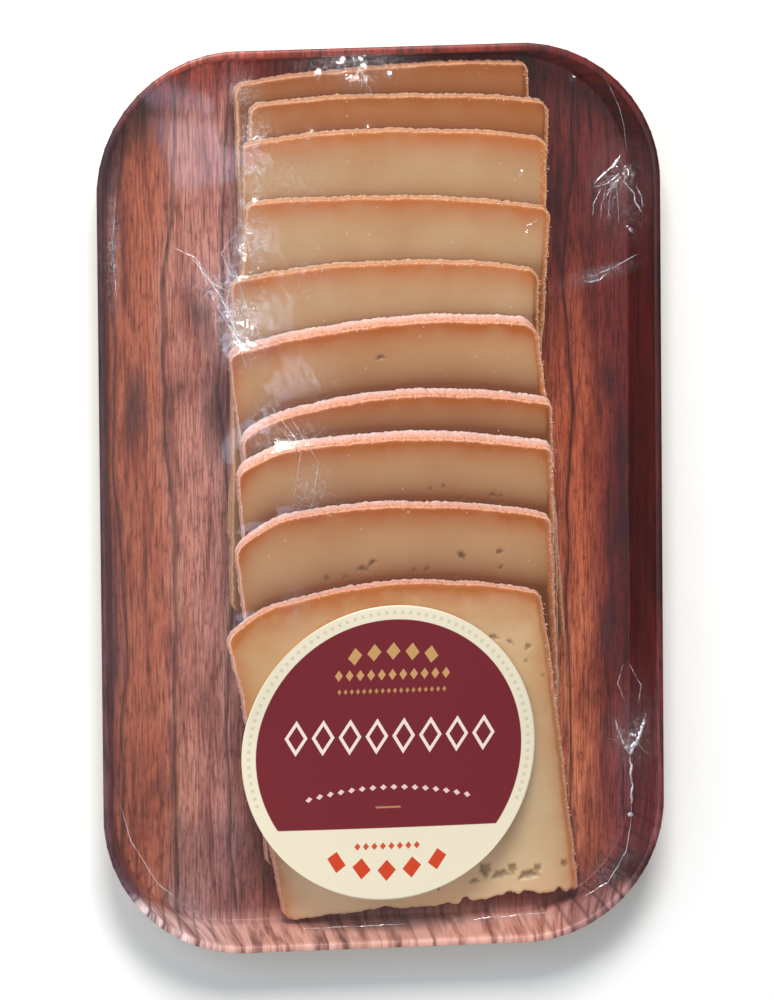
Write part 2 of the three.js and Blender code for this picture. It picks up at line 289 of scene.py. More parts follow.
def cheese_material(name, paste_a, paste_b, amber_code, rind_stops):
    """Cut cheese: one colour is laid over another where a noise or a mark of the mesh
    says so, from the paste up to the specks."""
    material, tree = new_material(name)
    place = add(tree, "TexCoord").outputs["Object"]
    amber, rind, eye_shade, painted_shade_and_dark_tone, depth, painted_light_pale = (
        add(tree, "Attribute", attribute_name=mark).outputs["Fac"]
        for mark in ("amber", "rind", "eye_shade", "painted_shade_and_dark_tone", "depth", "painted_light_pale"))
    # Cloudy differences in the paste, about 22 mm across
    cloud = add(tree, "TexNoise", {"Vector": place, "Scale": 45.0, "Detail": 4.0}).outputs["Fac"]
    cloud = add(tree, "MapRange", {"Value": cloud, "From Min": 0.35, "From Max": 0.65}).outputs["Result"]
    # The amber zone is uneven, so noise of about 6 mm moves its edge
    drift = add(tree, "TexNoise", {"Vector": place, "Scale": 160.0, "Detail": 3.0}).outputs["Fac"]
    drift = add(tree, "Math", {0: drift, 1: 0.5}, operation="ADD").outputs[0]
    amber = add(tree, "Math", {0: amber, 1: drift}, operation="MULTIPLY", use_clamp=True).outputs[0]
    # Rind: an orange line at the cut, salmon below it, and a frosty pale lower edge
    grain = add(tree, "TexNoise", {"Vector": place, "Scale": 1500.0, "Detail": 4.0, "Roughness": 0.65})
    grain = add(tree, "MapRange", {
        "Value": grain.outputs["Fac"], "From Min": 0.3, "From Max": 0.7, "To Min": -0.28, "To Max": 0.28})
    layer = add(tree, "Math", {0: depth, 1: grain.outputs["Result"]}, operation="ADD").outputs[0]
    skin = ramp(tree, layer, rind_stops)
    # Pale specks: salt and milk crystals up to 0.4 mm, about one in a square centimetre
    speck = add(tree, "TexVoronoi", {"Vector": place, "Scale": 260.0}).outputs["Distance"]
    speck = add(tree, "MapRange", {
        "Value": speck, "From Min": 0.06, "From Max": 0.035, "To Max": 0.5}).outputs["Result"]
    # From below: paste, its paler part painted as light, amber, painted shade along the
    # next heel and inside the right cut edge with a darker tone on slices 1 and 2, rind,
    # eyes painted dark as shade, and specks
    colour = linear(paste_a)
    for share, tint in (
            (cloud, linear(paste_b)), (painted_light_pale, linear("#f8e4b8")), (amber, linear(amber_code)),
            (painted_shade_and_dark_tone, linear("#74401f")), (rind, skin), (eye_shade, linear("#6f4b28")), (speck, linear("#f1d8bd"))):
        colour = add(tree, "Mix", {"Factor": share, 6: colour, 7: tint}, data_type="RGBA").outputs[2]
    # Curd grain: relief of a few hundredths of a millimetre
    curd = add(tree, "TexNoise", {"Vector": place, "Scale": 700.0, "Detail": 5.0}).outputs["Fac"]
    bump = add(tree, "Bump", {"Strength": 0.35, "Distance": 0.00006, "Height": curd}).outputs["Normal"]
    rough = add(tree, "MapRange", {"Value": rind, "To Min": 0.42, "To Max": 0.75}).outputs["Result"]
    shader = add(tree, "BsdfPrincipled", {
        "Base Color": colour, "Roughness": rough, "IOR": 1.45, "Normal": bump,
        "Subsurface Weight": 0.10, "Subsurface Radius": (1.0, 0.55, 0.25), "Subsurface Scale": 0.002})
    add(tree, "OutputMaterial", {"Surface": shader.outputs[0]})
    return material


REAR_CHEESE = cheese_material("semi_hard_cheese_cut_pale", "#c0a079", "#b59067", "#b76a33", RIND_TAN)
MIDDLE_CHEESE = cheese_material("semi_hard_cheese_cut_amber", "#c3996e", "#b88b5f", "#ab5a1c", RIND_PINK)
REARMOST_CHEESE = cheese_material("semi_hard_cheese_cut_smoked", "#b78b62", "#ab7d53", "#a85c1b", RIND_TAN)
# The front slice's paler paste is painted light
FRONT_CHEESE = cheese_material("semi_hard_cheese_cut_front", "#e4c599", "#d8b07e", "#bb6b2c", RIND_PINK)

# %% [markdown]
# ## The slices as meshes
# Each slice is a plate: a fine grid on top, the same grid below, and a wall of rings
# between their edges. The wall and the edge carry the crumbly rind, the foot is a
# ragged cut without rind, and the eyes are real pits pressed into the top, painted
# dark as shade.

# %% Eyes and notches, as (across, distance from the heel, radius) in millimetres
EYES = {
    6: [(-1.5, 7.5, 0.8)],
    8: [(22.8, 13.3, 0.75), (24.5, 13.4, 0.5), (24.8, 14.9, 0.5), (14.9, 14.5, 0.5), (10.8, 11.4, 0.5),
        (7.6, 12, 0.45), (-1.4, 14, 0.45), (-14.5, 14, 0.5)],
    9: [(-8.6, 14.7, 1.0), (-6.4, 13.4, 0.9), (-13, 16.4, 0.6), (-17.4, 16.2, 0.7), (3.6, 15.7, 0.6),
        (6.5, 15.5, 0.7), (15.2, 12, 1.0), (13.3, 17, 0.55), (24.5, 10.5, 0.75), (24.5, 14.4, 0.55)],
    10: [(28, 15, 0.7), (32, 16, 0.8), (31, 20, 0.5), (34.5, 24, 0.4), (24, 14, 0.9),
         (-24, 72.5, 1.0), (-12, 76.5, 1.2), (-4, 77.5, 1.0), (-16, 74, 0.6), (33, 76, 0.9), (14, 75.5, 1.6),
         (17.5, 77.2, 1.5), (20.5, 76, 1.2), (24, 78.2, 1.7), (26.5, 76.6, 1.0),
         (11, 78.2, 0.8), (2, 79, 0.6)],
}
NOTCHES = {10: [(19, 1.3, 1.6), (23.5, 1.0, 2.0), (31, 1.0, 0.9), (8, 1.6, 1.0), (34, 0.8, 0.9)]}


# %% One slice
def local_place(cut, x, y):
    """Turns places on the tray into millimetres across a slice and back from its heel:
    a turn by the slice's own angle, with the skew of its sides taken out."""
    turn = math.radians(cut["turn"])
    across = (x - cut["x"]) * math.cos(turn) + (y - cut["heel"]) * math.sin(turn)
    along = (x - cut["x"]) * math.sin(turn) - (y - cut["heel"]) * math.cos(turn)
    return across - along * math.tan(math.radians(cut["skew"])), along


def before_heel(cut, x, y):
    """How far places lie in front of a slice's heel line, in millimetres."""
    across, along = local_place(cut, x, y)
    return heel_drop(cut, across) - along


def slice_piece(number, cut, material):
    """Rows are close together where the slice shows and wide apart where it doesn't."""
    length = cut["heel"] - cut["foot"]
    shown = length if number >= 9 else 27.0
    pitch = 0.55 if number >= 9 else 0.42
    corner = max(cut["left"], cut["right"])
    close = corner * np.linspace(0, 1, int(corner / pitch) + 5) ** 1.5
    seen = np.arange(corner + pitch, shown, pitch)
    hidden = np.arange(shown, length - 2.2, 1.6)
    foot_rows = length - np.array([2.0, 1.5, 1.0, 0.6, 0.3, 0.12, 0.0])
    distance = np.concatenate([close, seen[seen < length - 2.2], hidden, foot_rows])[::-1][:, None]
    rows, columns = len(distance), int(cut["wide"] / 0.34)
    share = np.linspace(-1, 1, columns)[None, :]
    edge = half_width(cut, distance, np.sign(share))
    # The long sides: straight cuts that wander by 0.1 mm, with crumbs torn off
    seed = number * 10
    left_cut = wobble(distance, seed + 1, 0.1, 31, 3) + crumble(distance, seed + 5, 0.06, 1.1)
    right_cut = wobble(distance, seed + 2, 0.1, 31, 3) + crumble(distance, seed + 6, 0.06, 1.1)
    rough = np.where(share < 0, left_cut, right_cut)
    across = share * (edge + rough * np.abs(share) ** 6)
    x, y = plan_point(cut, distance, across)
    # The heel and the foot wander a little; the front slice's foot is torn
    heel_fade = np.clip(1 - distance / 6, 0, 1)
    foot_fade = np.clip(1 - (length - distance) / 5, 0, 1)
    y = y + heel_fade * (wobble(across, seed + 3, 0.1, 37, 3) + crumble(across, seed + 7, 0.035, 0.7))
    torn = 1.0 if number == 10 else 0.4
    ragged = torn * (wobble(across, seed + 4, 0.3, 29, 4) + crumble(across, seed + 8, 0.18, 1.3))
    for place, deep, wide in NOTCHES.get(number, []):
        ragged = ragged + deep * np.exp(-((across - place) / wide) ** 4)
    y = y + foot_fade * ragged
    upper = np.interp(y, PROFILE_Y, cut["upper"]) + crown(x)
    lower_y = y + np.clip(1 - distance / 4, 0, 1) * (cut["lean"] + crumble(across, seed + 9, 0.10, 0.7))
    lower = np.interp(lower_y, PROFILE_Y, cut["lower"]) + crown(x)
    # Distances from the rinds, for colour and for the rounding of the edge
    from_side = np.clip(edge - np.abs(share) * edge, 0, 30)
    from_heel = np.broadcast_to(distance, x.shape)
    near = np.minimum(from_side, from_heel)
    foot_gap = np.broadcast_to(length - distance, x.shape)
    upper = upper - 0.22 * np.clip(1 - near / 0.7, 0, 1) ** 2 - 0.3 * np.clip(1 - foot_gap / 0.8, 0, 1) ** 2
    upper = upper + wobble(x + 0.3 * y, number * 7, 0.035, 26, 3) * np.clip(near / 4, 0, 1)
    eye_shade = np.zeros_like(x)
    for place, deep, radius in EYES.get(number, []):
        beside, ahead = across - place, (distance - deep) * 1.25
        angle = np.arctan2(ahead, beside)
        away = np.hypot(beside, ahead) / radius
        away = away * (1 + 0.25 * np.sin(2 * angle + place) + 0.2 * np.sin(5 * angle + 2 * place))
        hollow = np.clip(1 - away ** 2, 0, 1)
        upper = upper - 0.6 * radius * hollow ** 0.7
        # The pit and a little past its rim are painted dark as shade
        eye_shade = np.maximum(eye_shade, np.clip(1.6 - 1.3 * away, 0, 0.6 if number == 10 else 1))
    band = 0.32 + wobble(across, seed + 9, 0.12, 13, 4) + crumble(across, seed + 12, 0.08, 0.8)
    band = np.maximum(0.12, band)
    amber = 1.1 * np.exp(-(from_heel / 4.6) ** 1.3) + 0.6 * np.exp(-from_side / 1.5)
    if number == 10:
        amber = np.maximum(amber, 1.0 * np.exp(-(from_heel / 7.5) ** 1.1)) + 0.12 * np.exp(-from_heel / 35)
        amber = np.maximum(amber, 0.85 * np.exp(-from_side / 4))
    if number <= 2:
        amber = np.maximum(amber, 0.6)
    # Painted light: the front slice's paste is paler towards its foot and its left side
    painted_light_pale = np.clip((from_heel - 35) / 40, 0, 1) * (np.clip(0.72 - across / 90, 0, 1) if number == 10 else 0.0)
    rind_near = np.minimum(from_side / np.where(share > 0, 3.2, 1.5), from_heel)
    rind = np.clip(1.2 - rind_near / band, 0, 1)
    depth = np.clip(0.25 - near * 0.5, 0, 1) + 0.35 * np.clip(1 - from_side / 0.4, 0, 1)
    # Painted shade: a dark line just inside the right cut edge; and a darker tone over all of slices 1 and 2
    painted_shade_and_dark_tone = 0.55 * np.exp(-((from_side - 1.0) / 0.45) ** 2) * (share > 0) + {1: 0.28, 2: 0.15}.get(number, 0.0)
    # Painted shade on the paste in front of the next slice's heel, where that heel stands over it
    if number < 10:
        gap = before_heel(SLICES[number], x, y)
        gap = np.maximum(gap - SLICES[number]["lean"], 0)
        painted_shade_and_dark_tone = painted_shade_and_dark_tone + (1.2 if number > 5 else 0.6) * np.exp(-(gap / (4.6 if number > 5 else 2.4)) ** 1.1)
    top = np.stack([x, y, upper], 2).reshape(-1, 3)
    bottom = np.stack([x, lower_y, lower], 2).reshape(-1, 3)
    # The wall: rings that bulge and crumble between the two rims
    rim = rim_indices(rows, columns)
    first, last = top[rim], bottom[rim]
    along = np.roll(first, -1, 0) - np.roll(first, 1, 0)
    out = np.stack([along[:, 1], -along[:, 0], np.zeros(len(rim))], 1)
    out /= np.maximum(np.linalg.norm(out, axis=1), 1e-6)[:, None]
    draw = np.random.default_rng(100 + number)
    is_foot = foot_gap.reshape(-1)[rim] < 0.01
    levels = np.linspace(0, 1, 9)[1:-1]
    rings, drawn = [], draw.normal(0, 0.05, len(rim))
    for level in levels:
        drawn = 0.55 * drawn + draw.normal(0, 0.075, len(rim))
        bulge = 0.16 * np.sin(np.pi * level) + drawn
        rings.append(first * (1 - level) + last * level + out * bulge[:, None])
    wall_rind = np.where(is_foot, 0.0, 1.0)
    points = np.concatenate([top, bottom] + rings)
    count = rows * columns
    ids = [rim] + [2 * count + i * len(rim) + np.arange(len(rim)) for i in range(len(levels))] + [rim + count]
    quads = [grid_quads(rows, columns), grid_quads(rows, columns, count)[:, ::-1]]
    quads += [ring_quads(a, b) for a, b in zip(ids[:-1], ids[1:])]
    walls = len(levels)
    marks = {
        "amber": np.concatenate([amber.ravel(), amber.ravel()] + [wall_rind * 0.6] * walls),
        "rind": np.concatenate([rind.ravel(), rind.ravel()] + [wall_rind] * walls),
        "eye_shade": np.concatenate([eye_shade.ravel(), 0 * eye_shade.ravel()] + [wall_rind * 0] * walls),
        "painted_light_pale": np.concatenate([painted_light_pale.ravel(), 0 * painted_light_pale.ravel()] + [wall_rind * 0] * walls),
        "painted_shade_and_dark_tone": np.concatenate([painted_shade_and_dark_tone.ravel(), 0 * painted_shade_and_dark_tone.ravel()] + [wall_rind * 0] * walls),
        "depth": np.concatenate([depth.ravel(), 0 * depth.ravel() + 1] + [wall_rind * 0 + v for v in levels]),
    }
    piece = mesh_piece(f"cheese_slice_{number:02d}", points, np.concatenate(quads), material, marks)
    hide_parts(f"slice_{number:02d}")
    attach(piece, "root")
    return piece


# The two rear slices are darker and browner, and the front one's paler paste is painted light
FAMILY = [REARMOST_CHEESE] * 2 + [REAR_CHEESE] * 3 + [MIDDLE_CHEESE] * 4 + [FRONT_CHEESE]
for number, cut in enumerate(SLICES, 1):
    slice_piece(number, cut, FAMILY[number - 1])


# %% Crumbs that the knife tears from the rind, along the heels and the right sides
def crumb_material():
    """Torn rind: one noise of about 1 mm runs from orange to pale."""
    material, tree = new_material("cheese_rind_crumbs")
    place = add(tree, "TexCoord").outputs["Object"]
    tone = add(tree, "TexNoise", {"Vector": place, "Scale": 900.0}).outputs["Fac"]
    colour = ramp(tree, tone, [(0.35, "#c98352"), (0.5, "#dfa57f"), (0.65, "#efcdb4")])
    shader = add(tree, "BsdfPrincipled", {
        "Base Color": colour, "Roughness": 0.6, "IOR": 1.45, "Subsurface Weight": 0.1,
        "Subsurface Radius": (1.0, 0.6, 0.35), "Subsurface Scale": 0.001})
    add(tree, "OutputMaterial", {"Surface": shader.outputs[0]})
    return material


def crumbs_piece():
    """Each crumb is an eight-sided lump: six points moved in and out at random."""
    draw = np.random.default_rng(77)
    corners = np.array([(1, 0, 0), (0, 1, 0), (-1, 0, 0), (0, -1, 0), (0, 0, 1), (0, 0, -1)], float)
    sides = np.array([(0, 1, 4), (1, 2, 4), (2, 3, 4), (3, 0, 4), (1, 0, 5), (2, 1, 5), (3, 2, 5), (0, 3, 5)])
    centres, sizes = [], []
    for cut in SLICES:
        length = cut["heel"] - cut["foot"]
        shown = min(length - 1, 78 if cut is SLICES[-1] else 24)
        count = 110 if cut is SLICES[-1] else 45
        distance = np.concatenate([shown * draw.uniform(0, 1, count), np.abs(draw.normal(0, 0.35, 40))])
        half = half_width(cut, distance, np.ones(len(distance)))
        beside_edge = half[:count] + draw.normal(-0.1, 0.3, count)
        along_heel = half[count:] * draw.uniform(-1, 1, 40)
        across = np.concatenate([beside_edge, along_heel])
        x, y = plan_point(cut, distance, across)
        level = np.interp(y, PROFILE_Y, cut["upper"]) + crown(x)
        size = draw.uniform(0.10, 0.34, len(x))
        outside = np.clip(np.abs(across) - half, 0, 1)
        centres.append(np.stack([x, y, level - 0.05 - outside * 1.5 + 0.2 * size], 1))
        sizes.append(size)
    centres, sizes = np.concatenate(centres), np.concatenate(sizes)
    lumps = corners[None] * sizes[:, None, None] * draw.uniform(0.55, 1.1, (len(sizes), 6, 1))
    points = (centres[:, None] + lumps).reshape(-1, 3)
    faces = (sides[None] + 6 * np.arange(len(sizes))[:, None, None]).reshape(-1, 3)
    piece = mesh_piece("cheese_crumbs", points, faces, crumb_material())
    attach(piece, "root")
    return piece


crumbs_piece()

# %% [markdown]
# ## The tray
# The tray is one sheet of board pressed in a heated mould. Its straight walls come
# out smooth, but round the corners the spare board gathers in narrow pleats. It is
# made as a section carried round the outline, with the pleats as ripples of the wall
# that fade on the floor and at the lip. The print lies on the flat sheet before it
# is pressed, so each point also keeps its place on the unrolled sheet.

# %% Material of the board: printed planks under a thin clear varnish
PLANK_STOPS = [
    (0.000, "#6d404c"), (0.030, "#7c464a"), (0.050, "#b56549"), (0.120, "#bf6e4f"), (0.145, "#c68773"),
    (0.250, "#cd938a"), (0.300, "#a65f50"), (0.480, "#a45a47"), (0.640, "#ac5a43"), (0.790, "#c26444"),
    (0.880, "#cf6e4a"), (0.912, "#93402f"), (0.938, "#7a2926"), (0.965, "#661e1e"), (1.000, "#6c2222")]
SEAMS = (0.052, 0.146, 0.245, 0.400, 0.560, 0.705, 0.855)
KNOTS = [(58, 24, 3.0), (61, 8, 4.5), (60, -12, 5.0), (-56, 22, 4.0), (57, -34, 3.5), (-37, 20, 5.0)]


def board_material():
    """Printed board: a ramp of planks across the unrolled sheet, multiplied by the
    tones of the grain, the stains and the seams, with knots laid over."""
    material, tree = new_material("pressed_paperboard_printed_varnished")
    sheet = add(tree, "Attribute", attribute_name="sheet").outputs["Vector"]
    # Planks wander by some 2 mm over a length of about 60 mm
    slow = add(tree, "VectorMath", {0: sheet, 1: (0.02, 0.016, 1.0)}, operation="MULTIPLY").outputs[0]
    drift = add(tree, "TexNoise", {"Vector": slow, "Scale": 1.0, "Detail": 2.0}).outputs["Fac"]
    parts = add(tree, "SeparateXYZ", {0: sheet})
    sheet_x, sheet_y = parts.outputs["X"], parts.outputs["Y"]
    shift = add(tree, "MapRange", {"Value": drift, "To Min": -6.0, "To Max": 6.0}).outputs["Result"]
    x = add(tree, "Math", {0: sheet_x, 1: shift}, operation="ADD").outputs[0]
    across = add(tree, "MapRange", {
        "Value": x, "From Min": -TRAY_WIDTH / 2, "From Max": TRAY_WIDTH / 2}).outputs["Result"]
    apart = add(tree, "Math", {0: sheet_x}, operation="ABSOLUTE").outputs[0]
    # Zones with soft edges: the millimetres at which each one starts and is full
    zones = {}
    for name, value, start, full in (
            ("upper", sheet_y, 12.0, 66.0), ("right", sheet_x, 8.0, 40.0),
            ("foot", sheet_y, -100.0, -106.0), ("head", sheet_y, 92.0, 100.0),
            ("middle", sheet_x, 38.0, 44.0), ("edge_foot", sheet_y, -88.0, -96.0),
            ("low", sheet_y, -35.0, -80.0), ("lower", sheet_y, -10.0, -45.0),
            ("corner", sheet_x, 40.0, 52.0), ("far_left", sheet_x, -38.0, -52.0),
            ("far_right", sheet_x, 57.0, 62.0), ("dusk", sheet_y, -74.0, -82.0),
            ("out", apart, 24.0, 34.0), ("in", apart, 55.0, 47.0), ("not_foot", sheet_y, -60.0, 30.0)):
        zones[name] = add(tree, "MapRange", {
            "Value": value, "From Min": start, "From Max": full}).outputs["Result"]
    for name, taken in (("low", "edge_foot"), ("lower", "edge_foot"), ("dusk", "foot")):
        zones[name] = add(tree, "Math", {0: zones[name], 1: zones[taken]},
                          operation="SUBTRACT", use_clamp=True).outputs[0]
    for name, first, second in (("wine", "upper", "right"), ("sides", "out", "in")):
        zones[name] = add(tree, "Math", {0: zones[first], 1: zones[second]}, operation="MULTIPLY").outputs[0]
    zones["lip"] = add(tree, "Attribute", attribute_name="lip").outputs["Fac"]
    zones["all"] = 1.0
    # The planks are a dark wine red at the upper right
    colour = add(tree, "Mix", {"Factor": zones["wine"], 6: ramp(tree, across, PLANK_STOPS),
                               7: linear("#782b29")}, data_type="RGBA").outputs[2]
    # Noises drawn out along the plank: streaks about 0.4 mm wide, bands of 2.5 mm,
    # mottling of 1 mm and smoky stains some centimetres long
    noises, tones = [], []
    for stretch, detail, roughness, distortion, amount, stops in (
            ((2.3, 0.11, 1.0), 7.0, 0.7, 0.0, 0.85,
             [(0.32, "#452623"), (0.44, "#c3aaa2"), (0.54, "#ffffff"), (0.70, "#fff4ea")]),
            ((0.40, 0.030, 1.0), 6.0, 0.6, 0.5, 0.8,
             [(0.30, "#7d4b46"), (0.44, "#e2cbc4"), (0.52, "#ffffff"), (0.70, "#fff0e0")]),
            ((0.9, 0.28, 1.0), 7.0, 0.75, 0.0, 0.8,
             [(0.26, "#4a2a2c"), (0.38, "#bfa7a2"), (0.50, "#ffffff"), (0.72, "#fff6f0")]),
            ((0.06, 0.025, 1.0), 5.0, 0.6, 0.0, 0.7,
             [(0.32, "#6a3c3e"), (0.43, "#e2cac3"), (0.50, "#ffffff")])):
        drawn_out = add(tree, "VectorMath", {0: sheet, 1: stretch}, operation="MULTIPLY").outputs[0]
        noises.append(add(tree, "TexNoise", {
            "Vector": drawn_out, "Scale": 1.0, "Detail": detail, "Roughness": roughness,
            "Distortion": distortion}).outputs["Fac"])
        tones.append((amount, ramp(tree, noises[-1], stops)))
    streak, band = noises[:2]
    # Seams between planks: dark lines about 0.7 mm wide with soft edges
    lines = [(0.0, "#ffffff")]
    for seam in SEAMS:
        lines += [(seam - 0.004, "#ffffff"), (seam - 0.001, "#3a1c20"),
                  (seam + 0.001, "#3a1c20"), (seam + 0.004, "#ffffff")]
    tones.append((0.8, ramp(tree, across, lines)))
    for amount, tone in tones:
        colour = add(tree, "Mix", {"Factor": amount, 6: colour, 7: tone}, data_type="RGBA",
                     blend_type="MULTIPLY").outputs[2]
    for knot_x, knot_y, radius in KNOTS:
        # A knot is an oval three times as long as wide, with a soft edge
        reach = add(tree, "VectorMath", {0: sheet, 1: (knot_x, knot_y, 0.0)}, operation="SUBTRACT").outputs[0]
        reach = add(tree, "VectorMath", {0: reach, 1: (1.0, 0.32, 0.0)}, operation="MULTIPLY").outputs[0]
        far = add(tree, "VectorMath", {0: reach}, operation="LENGTH").outputs["Value"]
        ragged = add(tree, "MapRange", {"Value": band, "To Min": -4.0, "To Max": 4.0}).outputs["Result"]
        far = add(tree, "Math", {0: far, 1: ragged}, operation="ADD").outputs[0]
        inside = add(tree, "MapRange", {
            "Value": far, "From Min": radius, "From Max": radius * 0.2, "To Max": 0.75}).outputs["Result"]
        colour = add(tree, "Mix", {"Factor": inside, 6: colour, 7: linear("#33161a")},
                     data_type="RGBA").outputs[2]
    # Painted light: the wall at the foot end is pale pink in streaks that follow the bands
    painted_light_streaks = add(tree, "MapRange", {
        "Value": band, "From Min": 0.36, "From Max": 0.56, "To Min": 0.15, "To Max": 0.88}).outputs["Result"]
    painted_light_streaks = add(tree, "Math", {0: zones["foot"], 1: painted_light_streaks}, operation="MULTIPLY").outputs[0]
    colour = add(tree, "Mix", {"Factor": painted_light_streaks, 6: colour, 7: linear("#f4bcab")}, data_type="RGBA").outputs[2]
    # Tone in each zone: painted light at the head end and at the lower left edge,
    # paler and greyer at the lower right, darker at its corner, painted shadow beside
    # the front slice's foot and painted shade along the lip
    for first, second, tone in (
            ("head", "all", (2.3, 1.35, 1.15, 1.0)), ("dusk", "sides", (0.62, 0.62, 0.70, 1.0)),
            ("low", "far_right", (1.3, 2.3, 2.5, 1.0)), ("lower", "middle", (1.3, 1.75, 1.95, 1.0)),
            ("edge_foot", "far_left", (1.2, 1.6, 1.9, 1.0)), ("edge_foot", "corner", (0.55, 0.48, 0.55, 1.0)),
            ("lip", "not_foot", (0.45, 0.38, 0.38, 1.0))):
        mask = add(tree, "Math", {0: zones[first], 1: zones[second]}, operation="MULTIPLY").outputs[0]
        colour = add(tree, "Mix", {"Factor": mask, 6: colour, 7: tone}, data_type="RGBA",
                     blend_type="MULTIPLY").outputs[2]
    # Pleat lines, and the bare underside of grey board
    pleat = add(tree, "Attribute", attribute_name="pleat").outputs["Fac"]
    folded = add(tree, "Mix", {"Factor": pleat, 6: colour, 7: linear("#3a1d20")}, data_type="RGBA").outputs[2]
    back = add(tree, "Attribute", attribute_name="back").outputs["Fac"]
    fibre = add(tree, "TexNoise", {
        "Vector": sheet, "Scale": 1.6, "Detail": 6.0, "Roughness": 0.7}).outputs["Fac"]
    bare = ramp(tree, fibre, [(0.35, "#b9a68f"), (0.5, "#c9b8a2"), (0.65, "#d6c8b4")])
    final = add(tree, "Mix", {"Factor": back, 6: folded, 7: bare}, data_type="RGBA").outputs[2]
    bump = add(tree, "Bump", {"Strength": 0.25, "Distance": 0.00005, "Height": streak}).outputs["Normal"]
    rough = add(tree, "MapRange", {"Value": back, "To Min": 0.38, "To Max": 0.85}).outputs["Result"]
    shader = add(tree, "BsdfPrincipled", {
        "Base Color": final, "Roughness": rough, "IOR": 1.5, "Normal": bump})
    add(tree, "OutputMaterial", {"Surface": shader.outputs[0]})
    return material


BOARD_PRINT = board_material()


# %% The tray's section carried round its outline
def outline(inset, corner_steps, straight_steps):
    """Points of a rounded rectangle drawn in by inset, anticlockwise from the upper end
    of its right side, and each point's share of its corner's turn, or -1 on a straight."""
    centre_x, centre_y = TRAY_WIDTH / 2 - TRAY_CORNER, TRAY_LENGTH / 2 - TRAY_CORNER
    radius = TRAY_CORNER - inset
    places, turns = [], []
    signs = [(1, 1), (-1, 1), (-1, -1), (1, -1)]
    for quarter, (sx, sy) in enumerate(signs):
        angle = (quarter + np.linspace(0, 1, corner_steps + 1)) * np.pi / 2
        arc = np.stack([sx * centre_x + radius * np.cos(angle), sy * centre_y + radius * np.sin(angle)], 1)
        nx, ny = signs[(quarter + 1) % 4]
        next_angle = (quarter + 1) * np.pi / 2
        goal = np.array([nx * centre_x + radius * np.cos(next_angle),
                         ny * centre_y + radius * np.sin(next_angle)])
        share = np.linspace(0, 1, straight_steps + 1)[1:-1, None]
        places += [arc, arc[-1] * (1 - share) + goal * share]
        turns += [np.linspace(0, 1, corner_steps + 1), np.full(straight_steps - 1, -1.0)]
    return np.concatenate(places), np.concatenate(turns)


PLEATS, PLEAT_OUT = 11, 0.32


